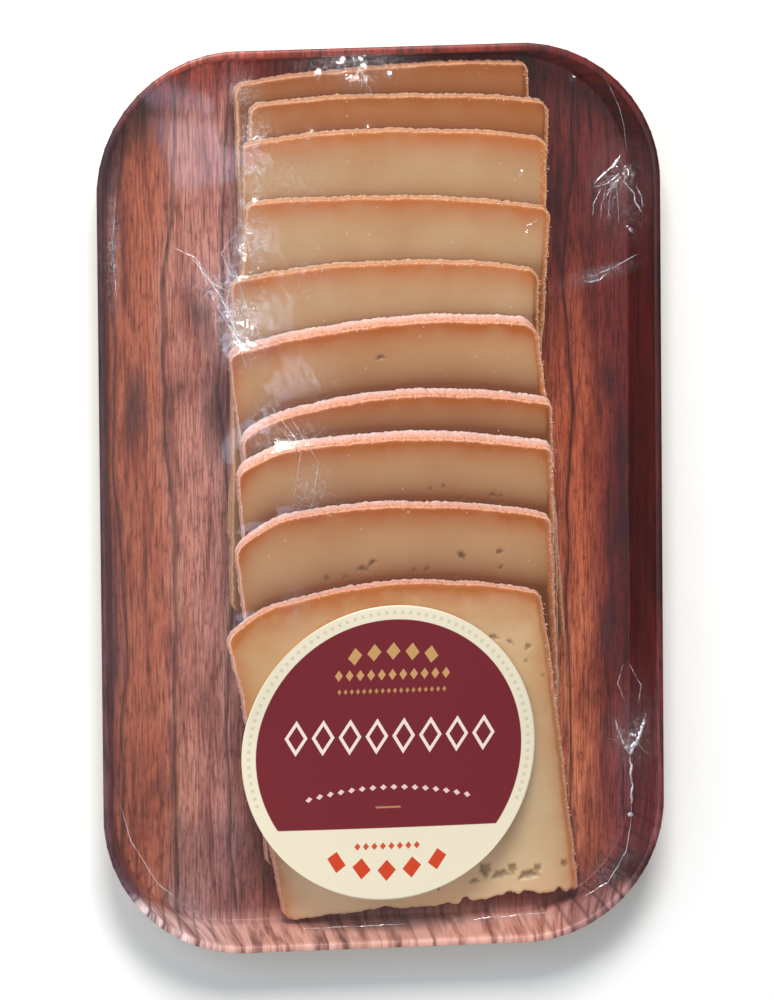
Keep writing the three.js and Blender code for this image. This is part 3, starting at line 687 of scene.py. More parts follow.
def tray_piece():
    """The section carried round the outline, ring by ring. The pleats push each ring
    out by a bump of exp(-t squared), once for each pleat of a corner."""
    corner_steps, straight_steps = 150, 24
    inner_lip = LIP + WALL
    # Section as (inset, height, back), underside first; back is 1 on the bare side
    floor_inset = inner_lip + WALL_LEAN + FLOOR_FILLET
    section = []
    for share in np.linspace(0, 1, 5):
        turn = share * np.pi / 2
        section.append((LIP + WALL_LEAN + FLOOR_FILLET * (1 - np.sin(turn)),
                        FLOOR_FILLET * (1 - np.cos(turn)), 1))
    wall_rise = TRAY_HEIGHT - LIP_DROP - FLOOR_FILLET
    for share in np.linspace(0, 1, 8)[1:]:
        section.append((LIP + WALL_LEAN * (1 - share), FLOOR_FILLET + wall_rise * share, 1))
    section += [(0.15, TRAY_HEIGHT - LIP_DROP, 1), (0.0, TRAY_HEIGHT - LIP_DROP * 0.7, 1)]
    section += [(0.0, TRAY_HEIGHT - 0.25, 0), (0.2, TRAY_HEIGHT, 0),
                (inner_lip - 0.25, TRAY_HEIGHT, 0), (inner_lip, TRAY_HEIGHT - 0.2, 0)]
    wall_top, wall_foot = TRAY_HEIGHT - 0.2, BOARD + FLOOR_FILLET
    for share in np.linspace(0, 1, 12)[1:]:
        section.append((inner_lip + WALL_LEAN * share, wall_top + (wall_foot - wall_top) * share, 0))
    for share in np.linspace(0, 1, 5)[1:]:
        turn = share * np.pi / 2
        section.append((inner_lip + WALL_LEAN + FLOOR_FILLET * np.sin(turn),
                        BOARD + FLOOR_FILLET * (1 - np.sin(turn)) ** 2, 0))
    section.append((floor_inset + 3.0, BOARD, 0))
    section.append((floor_inset + 9.0, BOARD, 0))
    section = np.array(section)
    step = np.hypot(np.diff(section[:, 0]), np.diff(section[:, 1]))
    run = np.concatenate([[0], np.cumsum(step)])
    foot_index = np.argmin(np.abs(section[:, 0] - floor_inset) + (section[:, 2] > 0) * 99)
    unrolled = section[foot_index, 0] - (run[foot_index] - run)
    rings, sheets, pleats, backs, lips = [], [], [], [], []
    for (inset, height, back), flat_inset in zip(section, unrolled):
        place, turn = outline(inset, corner_steps, straight_steps)
        corner = turn >= 0
        # The pleats are strongest on the wall and fade on the floor
        on_wall = np.clip((height - BOARD) / 3, 0, 1) * np.clip((TRAY_HEIGHT - height) / 1.2, 0.25, 1)
        reach = np.clip(1 - (inset - floor_inset) / 4.5, 0, 1) if inset > floor_inset else 1.0
        phase = turn * PLEATS
        fold = (np.exp(-(((phase % 1) - 0.5) / 0.09) ** 2) * corner
                * np.sin(np.pi * np.clip(turn, 0, 1)) ** 0.35)
        edge_out = place - outline(inset + 1, corner_steps, straight_steps)[0]
        push = PLEAT_OUT * fold * on_wall if inset <= floor_inset else 0 * fold
        place = place + edge_out * push[:, None]
        level = np.full(len(place), height)
        rings.append(np.column_stack([place, level]))
        flat_place = outline(min(flat_inset, TRAY_CORNER - 1), corner_steps, straight_steps)[0]
        sheets.append(np.column_stack([flat_place, 0 * level]))
        pleats.append(fold * reach * (0.65 if height > BOARD else 0.45) * (1 - back))
        backs.append(np.full(len(place), back))
        lips.append(np.full(len(place), float(height > TRAY_HEIGHT - 0.3 and not back)))
    count = len(rings[0])
    points, quads = np.concatenate(rings), []
    for ring in range(len(rings) - 1):
        a = ring * count + np.arange(count)
        quads.append(ring_quads(a, a + count)[:, ::-1])
    # Floor and underside: rings that shrink to a point in the middle
    sheet, pleat, back = np.concatenate(sheets), np.concatenate(pleats), np.concatenate(backs)
    lip = np.concatenate(lips)
    for base, is_back in ((len(rings) - 1, 0.0), (0, 1.0)):
        previous = base * count + np.arange(count)
        source = rings[base]
        for scale in (0.8, 0.6, 0.4, 0.2, 0.05, 0.0):
            ids = len(points) + np.arange(count)
            ring_points = source * (scale, scale, 1)
            points = np.concatenate([points, ring_points])
            sheet = np.concatenate([sheet, ring_points * (1, 1, 0)])
            pleat = np.concatenate([pleat, np.zeros(count)])
            lip = np.concatenate([lip, np.zeros(count)])
            back = np.concatenate([back, np.full(count, is_back)])
            band = ring_quads(previous, ids)
            quads.append(band if is_back else band[:, ::-1])
            previous = ids
    piece = mesh_piece("tray_board", points, np.concatenate(quads), BOARD_PRINT,
                       {"sheet": sheet, "pleat": pleat, "back": back, "lip": lip})
    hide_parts("tray")
    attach(piece, "root")
    return piece


tray_piece()

# %% [markdown]
# ## The film
# A heated film shrinks until it is a tight skin: it touches the cheese where the
# cheese stands out and spans freely to the lip elsewhere. That is a membrane over an
# obstacle. On a grid of heights, each free point is set to the mean of its
# neighbours, and any point that would sink into the cheese is lifted back. Coarse
# grids come first, because they settle fast. Wrinkles and knots are then added.

# %% The height of the pile on a grid, and the membrane over it
def pile_height(x, y):
    """The top of the pile at each place, or the floor where no slice lies."""
    height = np.full(x.shape, BOARD)
    for cut in SLICES:
        length = cut["heel"] - cut["foot"]
        across, along = local_place(cut, x, y)
        distance = along - (1 - np.clip(along / length, 0, 1)) ** 2 * heel_drop(cut, across)
        inside = (distance > -0.2) & (distance < length + 0.3)
        half = half_width(cut, np.clip(distance, 0, length), np.sign(across)) + 0.35
        inside &= np.abs(across) < half
        level = np.interp(y, PROFILE_Y, cut["upper"]) + crown(x)
        height = np.where(inside, np.maximum(height, level), height)
    return height


def film_half_width(y, inset):
    """Half the width of the rounded rectangle at a place along the tray."""
    radius = TRAY_CORNER - inset
    past = np.maximum(0, np.abs(y) - (TRAY_LENGTH / 2 - TRAY_CORNER))
    return TRAY_WIDTH / 2 - TRAY_CORNER + np.sqrt(np.maximum(0, radius ** 2 - past ** 2))


FILM_INSET, FILM_LEVEL = 0.5, TRAY_HEIGHT + 0.12


def membrane():
    """Relaxes the film on grids of 4.8, 2.4, 1.2 and 0.6 mm and returns the last."""
    height = None
    for spacing in (4.8, 2.4, 1.2, 0.6):
        xs = np.arange(-69.6, 69.61, spacing)
        ys = np.arange(-110.4, 110.41, spacing)
        grid_x, grid_y = np.meshgrid(xs, ys)
        inside = np.abs(grid_x) < film_half_width(grid_y, FILM_INSET)
        inside &= np.abs(grid_y) < TRAY_LENGTH / 2 - FILM_INSET
        floor = pile_height(grid_x, grid_y) + 0.12
        if height is None:
            now = np.where(inside, np.maximum(floor, FILM_LEVEL), FILM_LEVEL)
        else:
            rows = np.stack([np.interp(xs, old_xs, row) for row in height])
            now = np.stack([np.interp(ys, old_ys, column) for column in rows.T]).T
            now = np.where(inside, np.maximum(now, floor), FILM_LEVEL)
        for _ in range(260):
            mean = now.copy()
            mean[1:-1, 1:-1] = (now[:-2, 1:-1] + now[2:, 1:-1] + now[1:-1, :-2] + now[1:-1, 2:]) / 4
            now = np.where(inside, np.maximum(mean, floor), FILM_LEVEL)
        height, old_xs, old_ys = now, xs, ys
    print("film top", round(float(height.max()), 2), "mm")
    return old_xs, old_ys, height


FILM_X, FILM_Y, FILM_HEIGHT = membrane()


def film_level(x, y):
    """The membrane's height at any places, read between four grid points."""
    column = np.clip((x - FILM_X[0]) / (FILM_X[1] - FILM_X[0]), 0, len(FILM_X) - 1.001)
    row = np.clip((y - FILM_Y[0]) / (FILM_Y[1] - FILM_Y[0]), 0, len(FILM_Y) - 1.001)
    i, j = row.astype(int), column.astype(int)
    v, u = row - i, column - j
    return ((FILM_HEIGHT[i, j] * (1 - u) + FILM_HEIGHT[i, j + 1] * u) * (1 - v)
            + (FILM_HEIGHT[i + 1, j] * (1 - u) + FILM_HEIGHT[i + 1, j + 1] * u) * v)


# %% Wrinkles, creases and knots of the film, with their whitened stress marks and painted highlights
# Crinkled zones: centre, half sizes across and along, turn in degrees, and strength
# Their whitening also stands as painted highlight on the wrinkles; the faint zones left of the slices whiten
# the film as painted reflection
CRINKLES = [
    ((-33, 99), (4, 4), 0, 0.5), ((-31, 84), (4, 9), 0, 0.7), ((-32, 66), (4, 8), 0, 0.7),
    ((-36, 46), (5, 12), 20, 0.9), ((-40, 52), (7, 5), -40, 0.7), ((-30, 22), (4, 8), -25, 0.45),
    ((-20, 6), (5, 7), -30, 0.5), ((-24, -22), (3, 6), 0, 0.35), ((-64, 62), (1.6, 14), 0, 0.5),
    ((58, 70), (7, 10), 10, 0.25), ((60, -58), (6, 11), -5, 0.25), ((-6, 104), (12, 3), 0, 0.45),
    ((52, 53), (8, 1.6), 12, 0.8), ((-45, -98), (10, 3), -30, 0.4), ((20, -102), (34, 1.4), 2, 0.35),
    ((53, -92), (10, 4), 40, 0.35), ((-22, 78), (9, 9), 15, 0.22), ((-19, 55), (10, 8), -10, 0.2),
    ((-20, 32), (9, 7), 0, 0.18), ((-22, 16), (8, 7), 20, 0.22), ((-18, 3), (8, 6), 0, 0.18),
]
# Small blisters that catch the light: place, radius and height
BLISTERS = [(47.3, 99, 1.5, 0.6), (33.8, 77.5, 1.5, 0.62), (34.3, 63.4, 1.3, 0.58), (35.6, 65.2, 1.3, 0.58),
            (-14, 102, 1.3, 0.4), (-3, 103, 1.5, 0.45), (3, 101.5, 1.1, 0.35), (55, 66, 1.3, 0.4),
            (61, 74, 1.2, 0.4)]
# Knots, where the film gathers: place, reach, number of creases, and the middle
# direction and width in degrees of the fan in which they spread
GATHERS = [((58, 76), 9, 13, 215, 110), ((59.5, -57), 9, 4, 240, 130), ((-4, 103.5), 7, 7, 250, 200),
           ((-35, 44), 11, 9, 110, 90), ((-33, 60), 6, 4, 120, 160)]
# Single creases: width, brightness of their whitening and painted highlight, and the places they run through
CREASES = [
    (0.24, 0.9, (51.2, 74.7), (56.0, 78.3), (57.7, 81.1)),
    (0.15, 0.8, (50.6, 73.5), (54.5, 74.2), (57.5, 76.6)),
    (0.14, 0.9, (60.1, 78.0), (58.4, 74.7), (60.8, 71.6), (61.7, 68.4), (63.2, 66.3)),
    (0.12, 0.9, (61.2, 73.5), (62.8, 70.8), (63.0, 68.0)),
    (0.10, 0.6, (52.9, 73.5), (50.9, 70.0), (50.4, 66.8)),
    (0.09, 0.5, (54.1, 73.9), (52.8, 69.5), (52.4, 65.6)),
    (0.09, 0.5, (55.3, 73.9), (54.6, 69.5), (54.5, 64.9)),
    (0.08, 0.4, (56.5, 73.9), (56.9, 69.0), (56.9, 64.4)), (0.30, 0.9, (59.1, 63.9), (60.5, 62.0)),
    (0.20, 0.9, (55.3, -53.8), (55.8, -56.4), (56.7, -58.8), (57.9, -61.4), (59.0, -62.9)),
    (0.35, 1.0, (58.2, -61.6), (59.0, -62.9), (60.2, -61.0), (61.7, -57.9), (62.4, -55.0), (63.1, -53.4)),
    (0.55, 0.9, (57.9, -60.6), (59.2, -61.6), (60.3, -59.8)),
    (0.18, 1.0, (59.0, -62.9), (59.2, -67.5), (59.4, -71.5), (59.4, -77.8)),
    (0.50, 0.9, (58.4, -77.6), (59.8, -77.9)),
    (0.10, 0.7, (59.4, -77.8), (58.1, -86.8), (53.5, -94.1), (47.2, -97.6)),
    (0.10, 0.6, (57.6, -50.0), (55.6, -45.5), (57.0, -41.0)),
    (0.10, 0.6, (61.2, -51.0), (61.6, -46.5), (58.4, -40.8)),
    (0.06, 0.5, (50, 104), (53.2, 100.6), (55.5, 97), (57.4, 92.6), (58.6, 88), (59.4, 80.5)),
    (0.16, 0.8, (-47, 62), (-40, 52), (-34, 38)),
    (0.10, 0.6, (-51, 63), (-45, 60), (-41, 54), (-37, 52)),
    (0.10, 0.6, (-36, 66), (-39, 61), (-37, 56), (-33, 55)),
    (0.09, 0.5, (-33, 62), (-36, 57), (-34, 50), (-36, 42)),
    (0.12, 0.7, (-44, 58), (-40, 48), (-33, 36)), (0.14, 0.8, (-37, 60), (-38, 48), (-34, 34)),
    (0.08, 0.5, (-29, 26), (-22, 16), (-24, 4)), (0.08, 0.5, (-25, 24), (-18, 12), (-20, 2)),
    (0.18, 0.9, (48.5, 51), (51, 51.4), (54, 52.6)), (0.12, 0.8, (49, 52.2), (55, 54), (62, 57)),
    (0.08, 0.6, (-63, 76), (-64, 62), (-63, 48)),
    (0.10, 0.6, (-64, -70), (-61, -80), (-55, -90), (-48, -96)),
    (0.12, 0.8, (34.0, 65.5), (36.8, 66.8)), (0.10, 0.7, (20, -101.8), (40, -100.6)),
    (0.10, 0.7, (-20, -102.4), (5, -102.2)),
]


def film_relief(x, y):
    """Crinkled zones are oval clouds of short waves, with the whitening, which also
    stands as painted highlight and painted reflection, highest in their middles.
    Returns the lift in millimetres and the whitening."""
    lift, white = np.zeros_like(x), np.zeros_like(x)
    for number, ((cx, cy), (wide, tall), turn, strong) in enumerate(CRINKLES):
        c, d = math.cos(math.radians(turn)), math.sin(math.radians(turn))
        u = ((x - cx) * c + (y - cy) * d) / wide
        v = (-(x - cx) * d + (y - cy) * c) / tall
        cloud = np.exp(-(u * u + v * v) * 1.2)
        bent = u * wide + v * tall * 0.35 + wobble(v * tall, number + 80, 0.6, 9, 3)
        waves = wobble(bent, number + 50, 0.10, 5.2, 2) * (0.7 + wobble(v * tall, number + 95, 0.3, 11, 2))
        lift += strong * cloud * waves
        white = np.maximum(white, strong * cloud)
    for cx, cy, radius, tall in BLISTERS:
        lift += tall * np.exp(-((x - cx) ** 2 + (y - cy) ** 2) / (0.5 * radius ** 2))
    return lift, np.clip(white, 0, 1)


LABEL_X, LABEL_Y, LABEL_RX, LABEL_RY = -0.3, -59.1, 35.2, 36.8


def from_lip(x, y):
    """How far places lie inside the film's edge, across or along, whichever is less."""
    return np.minimum(film_half_width(y, FILM_INSET) - np.abs(x),
                      TRAY_LENGTH / 2 - FILM_INSET - np.abs(y))


def from_label(x, y):
    """Distance from the label's middle, counted so that it is 1 on the label's edge."""
    return np.hypot((x - LABEL_X) / LABEL_RX, (y - LABEL_Y) / LABEL_RY)


def film_surface(x, y):
    """Height and whiteness of the film. Relief fades at the lip and under the label."""
    lift, white = film_relief(x, y)
    lip = from_lip(x, y)
    clear_of_label = np.clip((from_label(x, y) - 1.0) / 0.05, 0, 1)
    fade = np.clip(lip / 3, 0, 1) * clear_of_label
    return film_level(x, y) + lift * fade, white * np.clip(lip, 0, 1) * clear_of_label


# %% Material of the film: shrunk polyolefin, clear and glossy
def film_material():
    """Clear film: transparent and mirror mixed by Fresnel, with silky white over it
    where the mesh carries stress whitening and along folds; both also stand as painted highlight."""
    material, tree = new_material("polyolefin_shrink_film_clear")
    place = add(tree, "TexCoord").outputs["Object"]
    # Plastic of IOR 1.5 mirrors 4 % of what comes straight on and more at a slant. The
    # back of the sheet gets 1 / 1.5, which keeps light from below from being trapped.
    front = add(tree, "Fresnel", {"IOR": 1.5}).outputs[0]
    behind = add(tree, "Fresnel", {"IOR": 0.6667}).outputs[0]
    side = add(tree, "NewGeometry").outputs["Backfacing"]
    mirror = add(tree, "Mix", {"Factor": side, 2: front, 3: behind}, data_type="FLOAT").outputs[0]
    clear = add(tree, "BsdfTransparent", {"Color": (0.985, 0.985, 0.99, 1.0)}).outputs[0]
    gloss = add(tree, "BsdfAnisotropic", {"Color": (1, 1, 1, 1), "Roughness": 0.08}).outputs[0]
    skin = add(tree, "MixShader", {0: mirror, 1: clear, 2: gloss}).outputs[0]
    # Stress whitening scatters light, so it looks white and silky, and here it also
    # stands as painted highlight on wrinkles and painted reflection. It lies in filaments:
    # the lines where a cloudy noise of about 4 mm, or of 1.4 mm, crosses its middle
    # value, over a faint even veil
    white = add(tree, "Attribute", attribute_name="whitening_and_painted_highlight").outputs["Fac"]
    filaments = None
    for scale, thin in ((260.0, 0.016), (700.0, 0.03)):
        noise = add(tree, "TexNoise", {"Vector": place, "Scale": scale, "Detail": 2.0, "Distortion": 0.7})
        away = add(tree, "Math", {0: noise.outputs["Fac"], 1: 0.5}, operation="SUBTRACT").outputs[0]
        away = add(tree, "Math", {0: away}, operation="ABSOLUTE").outputs[0]
        line = add(tree, "MapRange", {
            "Value": away, "From Max": thin, "To Min": 1.0, "To Max": 0.0}).outputs["Result"]
        filaments = line if filaments is None else add(
            tree, "Math", {0: filaments, 1: line}, operation="MAXIMUM").outputs[0]
    veil = add(tree, "Math", {0: filaments, 1: 0.5, 2: 0.09}, operation="MULTIPLY_ADD").outputs[0]
    amount = add(tree, "Math", {0: white, 1: veil}, operation="MULTIPLY").outputs[0]
    # Painted highlight along the folds of the knots
    fold = add(tree, "Attribute", attribute_name="fold").outputs["Fac"]
    amount = add(tree, "Math", {0: amount, 1: fold}, operation="MAXIMUM").outputs[0]
    scatter = add(tree, "BsdfDiffuse", {"Color": linear("#eef0f8")}).outputs[0]
    sparkle = add(tree, "BsdfAnisotropic", {"Color": (1, 1, 1, 1), "Roughness": 0.25}).outputs[0]
    milky = add(tree, "MixShader", {0: 0.5, 1: scatter, 2: sparkle}).outputs[0]
    surface = add(tree, "MixShader", {0: amount, 1: skin, 2: milky}).outputs[0]
    add(tree, "OutputMaterial", {"Surface": surface})
    return material


FILM = film_material()


# %% The film's mesh: columns run from lip to lip, rows turn round the corners
def film_piece():
    """A grid whose rows follow an even angle round the corners and an even step along
    the straight sides, and whose columns share the width between the lips."""
    radius, straight = TRAY_CORNER - FILM_INSET, TRAY_LENGTH / 2 - TRAY_CORNER
    turn = np.linspace(0, np.pi / 2, 62)[:-1]
    ys = np.concatenate([-straight - radius * np.cos(turn), np.linspace(-straight, straight, 260),
                         (straight + radius * np.cos(turn))[::-1]])[:, None]
    share = np.linspace(-1, 1, 240)[None, :]
    x = share * film_half_width(ys, FILM_INSET)
    y = np.broadcast_to(ys, x.shape)
    height, white = film_surface(x, y)
    points = np.stack([x, y, height], 2).reshape(-1, 3)
    piece = mesh_piece("shrink_film", points, grid_quads(*x.shape), FILM,
                       {"whitening_and_painted_highlight": white.ravel(), "fold": 0 * white.ravel()})
    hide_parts("film")
    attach(piece, "root")
    return piece


film_piece()


# %% Creases: ridges 0.1 to 1 mm wide, pinched up from the film
def crease_lines():
    """Each crease as points in plan, with its width and brightness. Single ones run
    through their places in rough straight lines; the others fan out from the gathers."""
    draw = np.random.default_rng(21)
    share = np.linspace(0, 1, 60)[:, None]
    lines = []
    for wide, crease_whitening_and_highlight, *stops in CREASES:
        stops = np.array(stops, float)
        run = np.concatenate([[0], np.cumsum(np.hypot(*np.diff(stops, axis=0).T))])
        count = max(12, int(run[-1] / 0.3))
        here = np.linspace(0, run[-1], count)
        curve = np.stack([np.interp(here, run, stops[:, axis]) for axis in (0, 1)], 1)
        shake = min(0.13, 0.7 * wide)
        jitter = np.stack([crumble(here, draw.integers(999), shake, 1.6) for _ in range(2)], 1)
        lines.append((curve + jitter, wide, crease_whitening_and_highlight))
    for (cx, cy), reach, rays, middle, spread in GATHERS:
        for turn in np.radians(middle + spread * draw.uniform(-0.5, 0.5, rays)):
            length, bend = reach * draw.uniform(0.35, 1.0), draw.uniform(-0.3, 0.3)
            away = 0.4 + share[:40, 0] / share[39, 0] * length
            angle = turn + bend * (away / reach) ** 1.5 + crumble(away, draw.integers(999), 0.05, 1.5)
            places = np.stack([cx + away * np.cos(angle), cy + away * np.sin(angle)], 1)
            lines.append((places, draw.uniform(0.025, 0.06), 0.5))
    return lines


def creases_piece():
    """Each crease is a roof-shaped strip of four rows along its line, tapered at its
    ends by the square root of the distance from them."""
    points, quads, crease_whitening_and_highlight, total = [], [], [], 0
    for places, wide, shine in crease_lines():
        free = (from_lip(*places.T) > 1.2) & (from_label(*places.T) > 1.03)
        places = places[free]
        if len(places) < 8:
            continue
        along = np.gradient(places, axis=0)
        side = np.stack([-along[:, 1], along[:, 0]], 1) / np.hypot(along[:, 0], along[:, 1])[:, None]
        share = np.linspace(0, 1, len(places))
        taper = np.sqrt(np.clip(np.minimum(share, 1 - share) * 5, 0.05, 1))
        size = wide * taper * (0.75 + np.abs(crumble(share * 20, len(places) + total, 0.4, 1.3)))
        rows = []
        for offset, rise in ((-1.0, 0.0), (-0.35, 0.8), (0.35, 0.8), (1.0, 0.0)):
            plan = places + side * (offset * size)[:, None]
            level = film_surface(plan[:, 0], plan[:, 1])[0] + 0.03 + rise * size
            rows.append(np.column_stack([plan, level]))
        points.append(np.stack(rows).reshape(-1, 3))
        quads.append(grid_quads(4, len(places), total)[:, ::-1])
        bright = shine * np.clip(0.7 + crumble(share * 30, total + 5, 0.35, 2.2), 0, 1) * taper
        crease_whitening_and_highlight.append(np.tile(bright, 4))
        total += 4 * len(places)
    piece = mesh_piece("film_creases", np.concatenate(points), np.concatenate(quads), CREASED,
                       {"crease_whitening_and_highlight": np.concatenate(crease_whitening_and_highlight)})
    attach(piece, "root")
    return piece


def crease_material():
    """Doubled, whitened film along a pinched crease, also standing as a painted highlight: part clear, part
    silky white.
    """
    material, tree = new_material("polyolefin_shrink_film_creased")
    crease_whitening_and_highlight = add(tree, "Attribute", attribute_name="crease_whitening_and_highlight").outputs["Fac"]
    clear = add(tree, "BsdfTransparent", {"Color": (0.98, 0.98, 0.99, 1.0)}).outputs[0]
    scatter = add(tree, "BsdfDiffuse", {"Color": linear("#f2f3fa")}).outputs[0]
    sparkle = add(tree, "BsdfAnisotropic", {"Color": (1, 1, 1, 1), "Roughness": 0.18}).outputs[0]
    milky = add(tree, "MixShader", {0: 0.55, 1: scatter, 2: sparkle}).outputs[0]
    amount = add(tree, "Math", {0: crease_whitening_and_highlight, 1: 0.85, 2: 0.05}, operation="MULTIPLY_ADD").outputs[0]
    surface = add(tree, "MixShader", {0: amount, 1: clear, 2: milky}).outputs[0]
    add(tree, "OutputMaterial", {"Surface": surface})
    return material


CREASED = crease_material()
creases_piece()


# %% Knots: crumpled double layers of film with sharp folds and flat facets
def triangle_wave(t):
    """A zigzag between -1 and 1 with sharp tops, which makes flat facets."""
    return 4 * np.abs(t - np.floor(t + 0.5)) - 1


def knot_piece(number, centre, reach, middle, spread):
    """A round patch of crumpled film: zigzag folds in random directions near the
    middle, and folds that fan out along the knot's direction."""
    draw = np.random.default_rng(300 + number)
    share = np.linspace(-1, 1, 110)
    u, v = np.meshgrid(share, share)
    u, v = u * np.sqrt(1 - v * v / 2) * reach, v * np.sqrt(1 - u * u / 2) * reach
    away, angle = np.hypot(u, v), np.arctan2(v, u)
    off = (angle - math.radians(middle) + np.pi) % (2 * np.pi) - np.pi
    in_fan = np.clip(1 - np.abs(off) / math.radians(spread / 2 + 10), 0, 1) ** 0.5
    warp_u = u + wobble(v, number + 7, 0.5, 9, 3)
    warp_v = v + wobble(u, number + 9, 0.5, 8, 3)
    crumpled = np.zeros_like(u)
    for _ in range(6):
        turn, wave = draw.uniform(0, np.pi), draw.uniform(4.0, 9.0)
        fold = triangle_wave((warp_u * np.cos(turn) + warp_v * np.sin(turn)) / wave + draw.uniform())
        crumpled += (0.055 if number <= 2 else 0.028) * wave * fold
    fan = triangle_wave(off * 5.5 + 0.15 * wobble(away, number + 3, 1, 7, 2))
    fan = fan * in_fan * np.clip(away / 4, 0, 1)
    fade = np.clip(1 - away / reach, 0, 1) ** 0.8
    lift = crumpled * np.exp(-(away / (0.6 * reach)) ** 2) + 0.12 * fan * fade
    x, y = centre[0] + u, centre[1] + v
    lip = from_lip(x, y)
    fade = fade * np.clip(lip / 3, 0, 1)
    height = film_surface(x, y)[0] + 0.05 + (lift + 0.4) * fade
    keep = lip > 0.6
    quads = grid_quads(*x.shape)
    quads = quads[keep.ravel()[quads].all(1)]
    points = np.stack([x, y, height], 2).reshape(-1, 3)
    used = np.unique(quads)
    renumber = np.zeros(len(points), int)
    renumber[used] = np.arange(len(used))
    # Painted highlight: silky white along the sharp folds, in patches, fading outwards
    edge = (np.abs(np.gradient(np.gradient(lift, axis=0), axis=0))
            + np.abs(np.gradient(np.gradient(lift, axis=1), axis=1)))
    clouds = wobble(u + 0.7 * v, number + 11, 1.0, 5, 3) * wobble(v - 0.4 * u, number + 13, 1.0, 6, 3)
    patchy = np.clip(0.5 + 0.5 * clouds, 0, 1)
    fold = np.clip(edge * 9 - 0.3, 0, 0.5) * fade ** 0.5 * patchy
    piece = mesh_piece(f"film_knot_{number}", points[used], renumber[quads], FILM,
                       {"whitening_and_painted_highlight": 0 * fade.ravel()[used], "fold": fold.ravel()[used]})
    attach(piece, "root")
    return piece


for number, (centre, reach, _, middle, spread) in enumerate(GATHERS, 1):
    knot_piece(number, centre, reach, middle, spread)

# %% [markdown]
# ## The label
# A coated paper label, round, stuck on the film. Its print is plain fields of colour
# and simple ornament: a wine-red disc with a straight lower edge on a cream ground,
# lozenges, dots and rules. Each shape is a distance worked out in the label's own
# plane, so its edge stays sharp at any size.

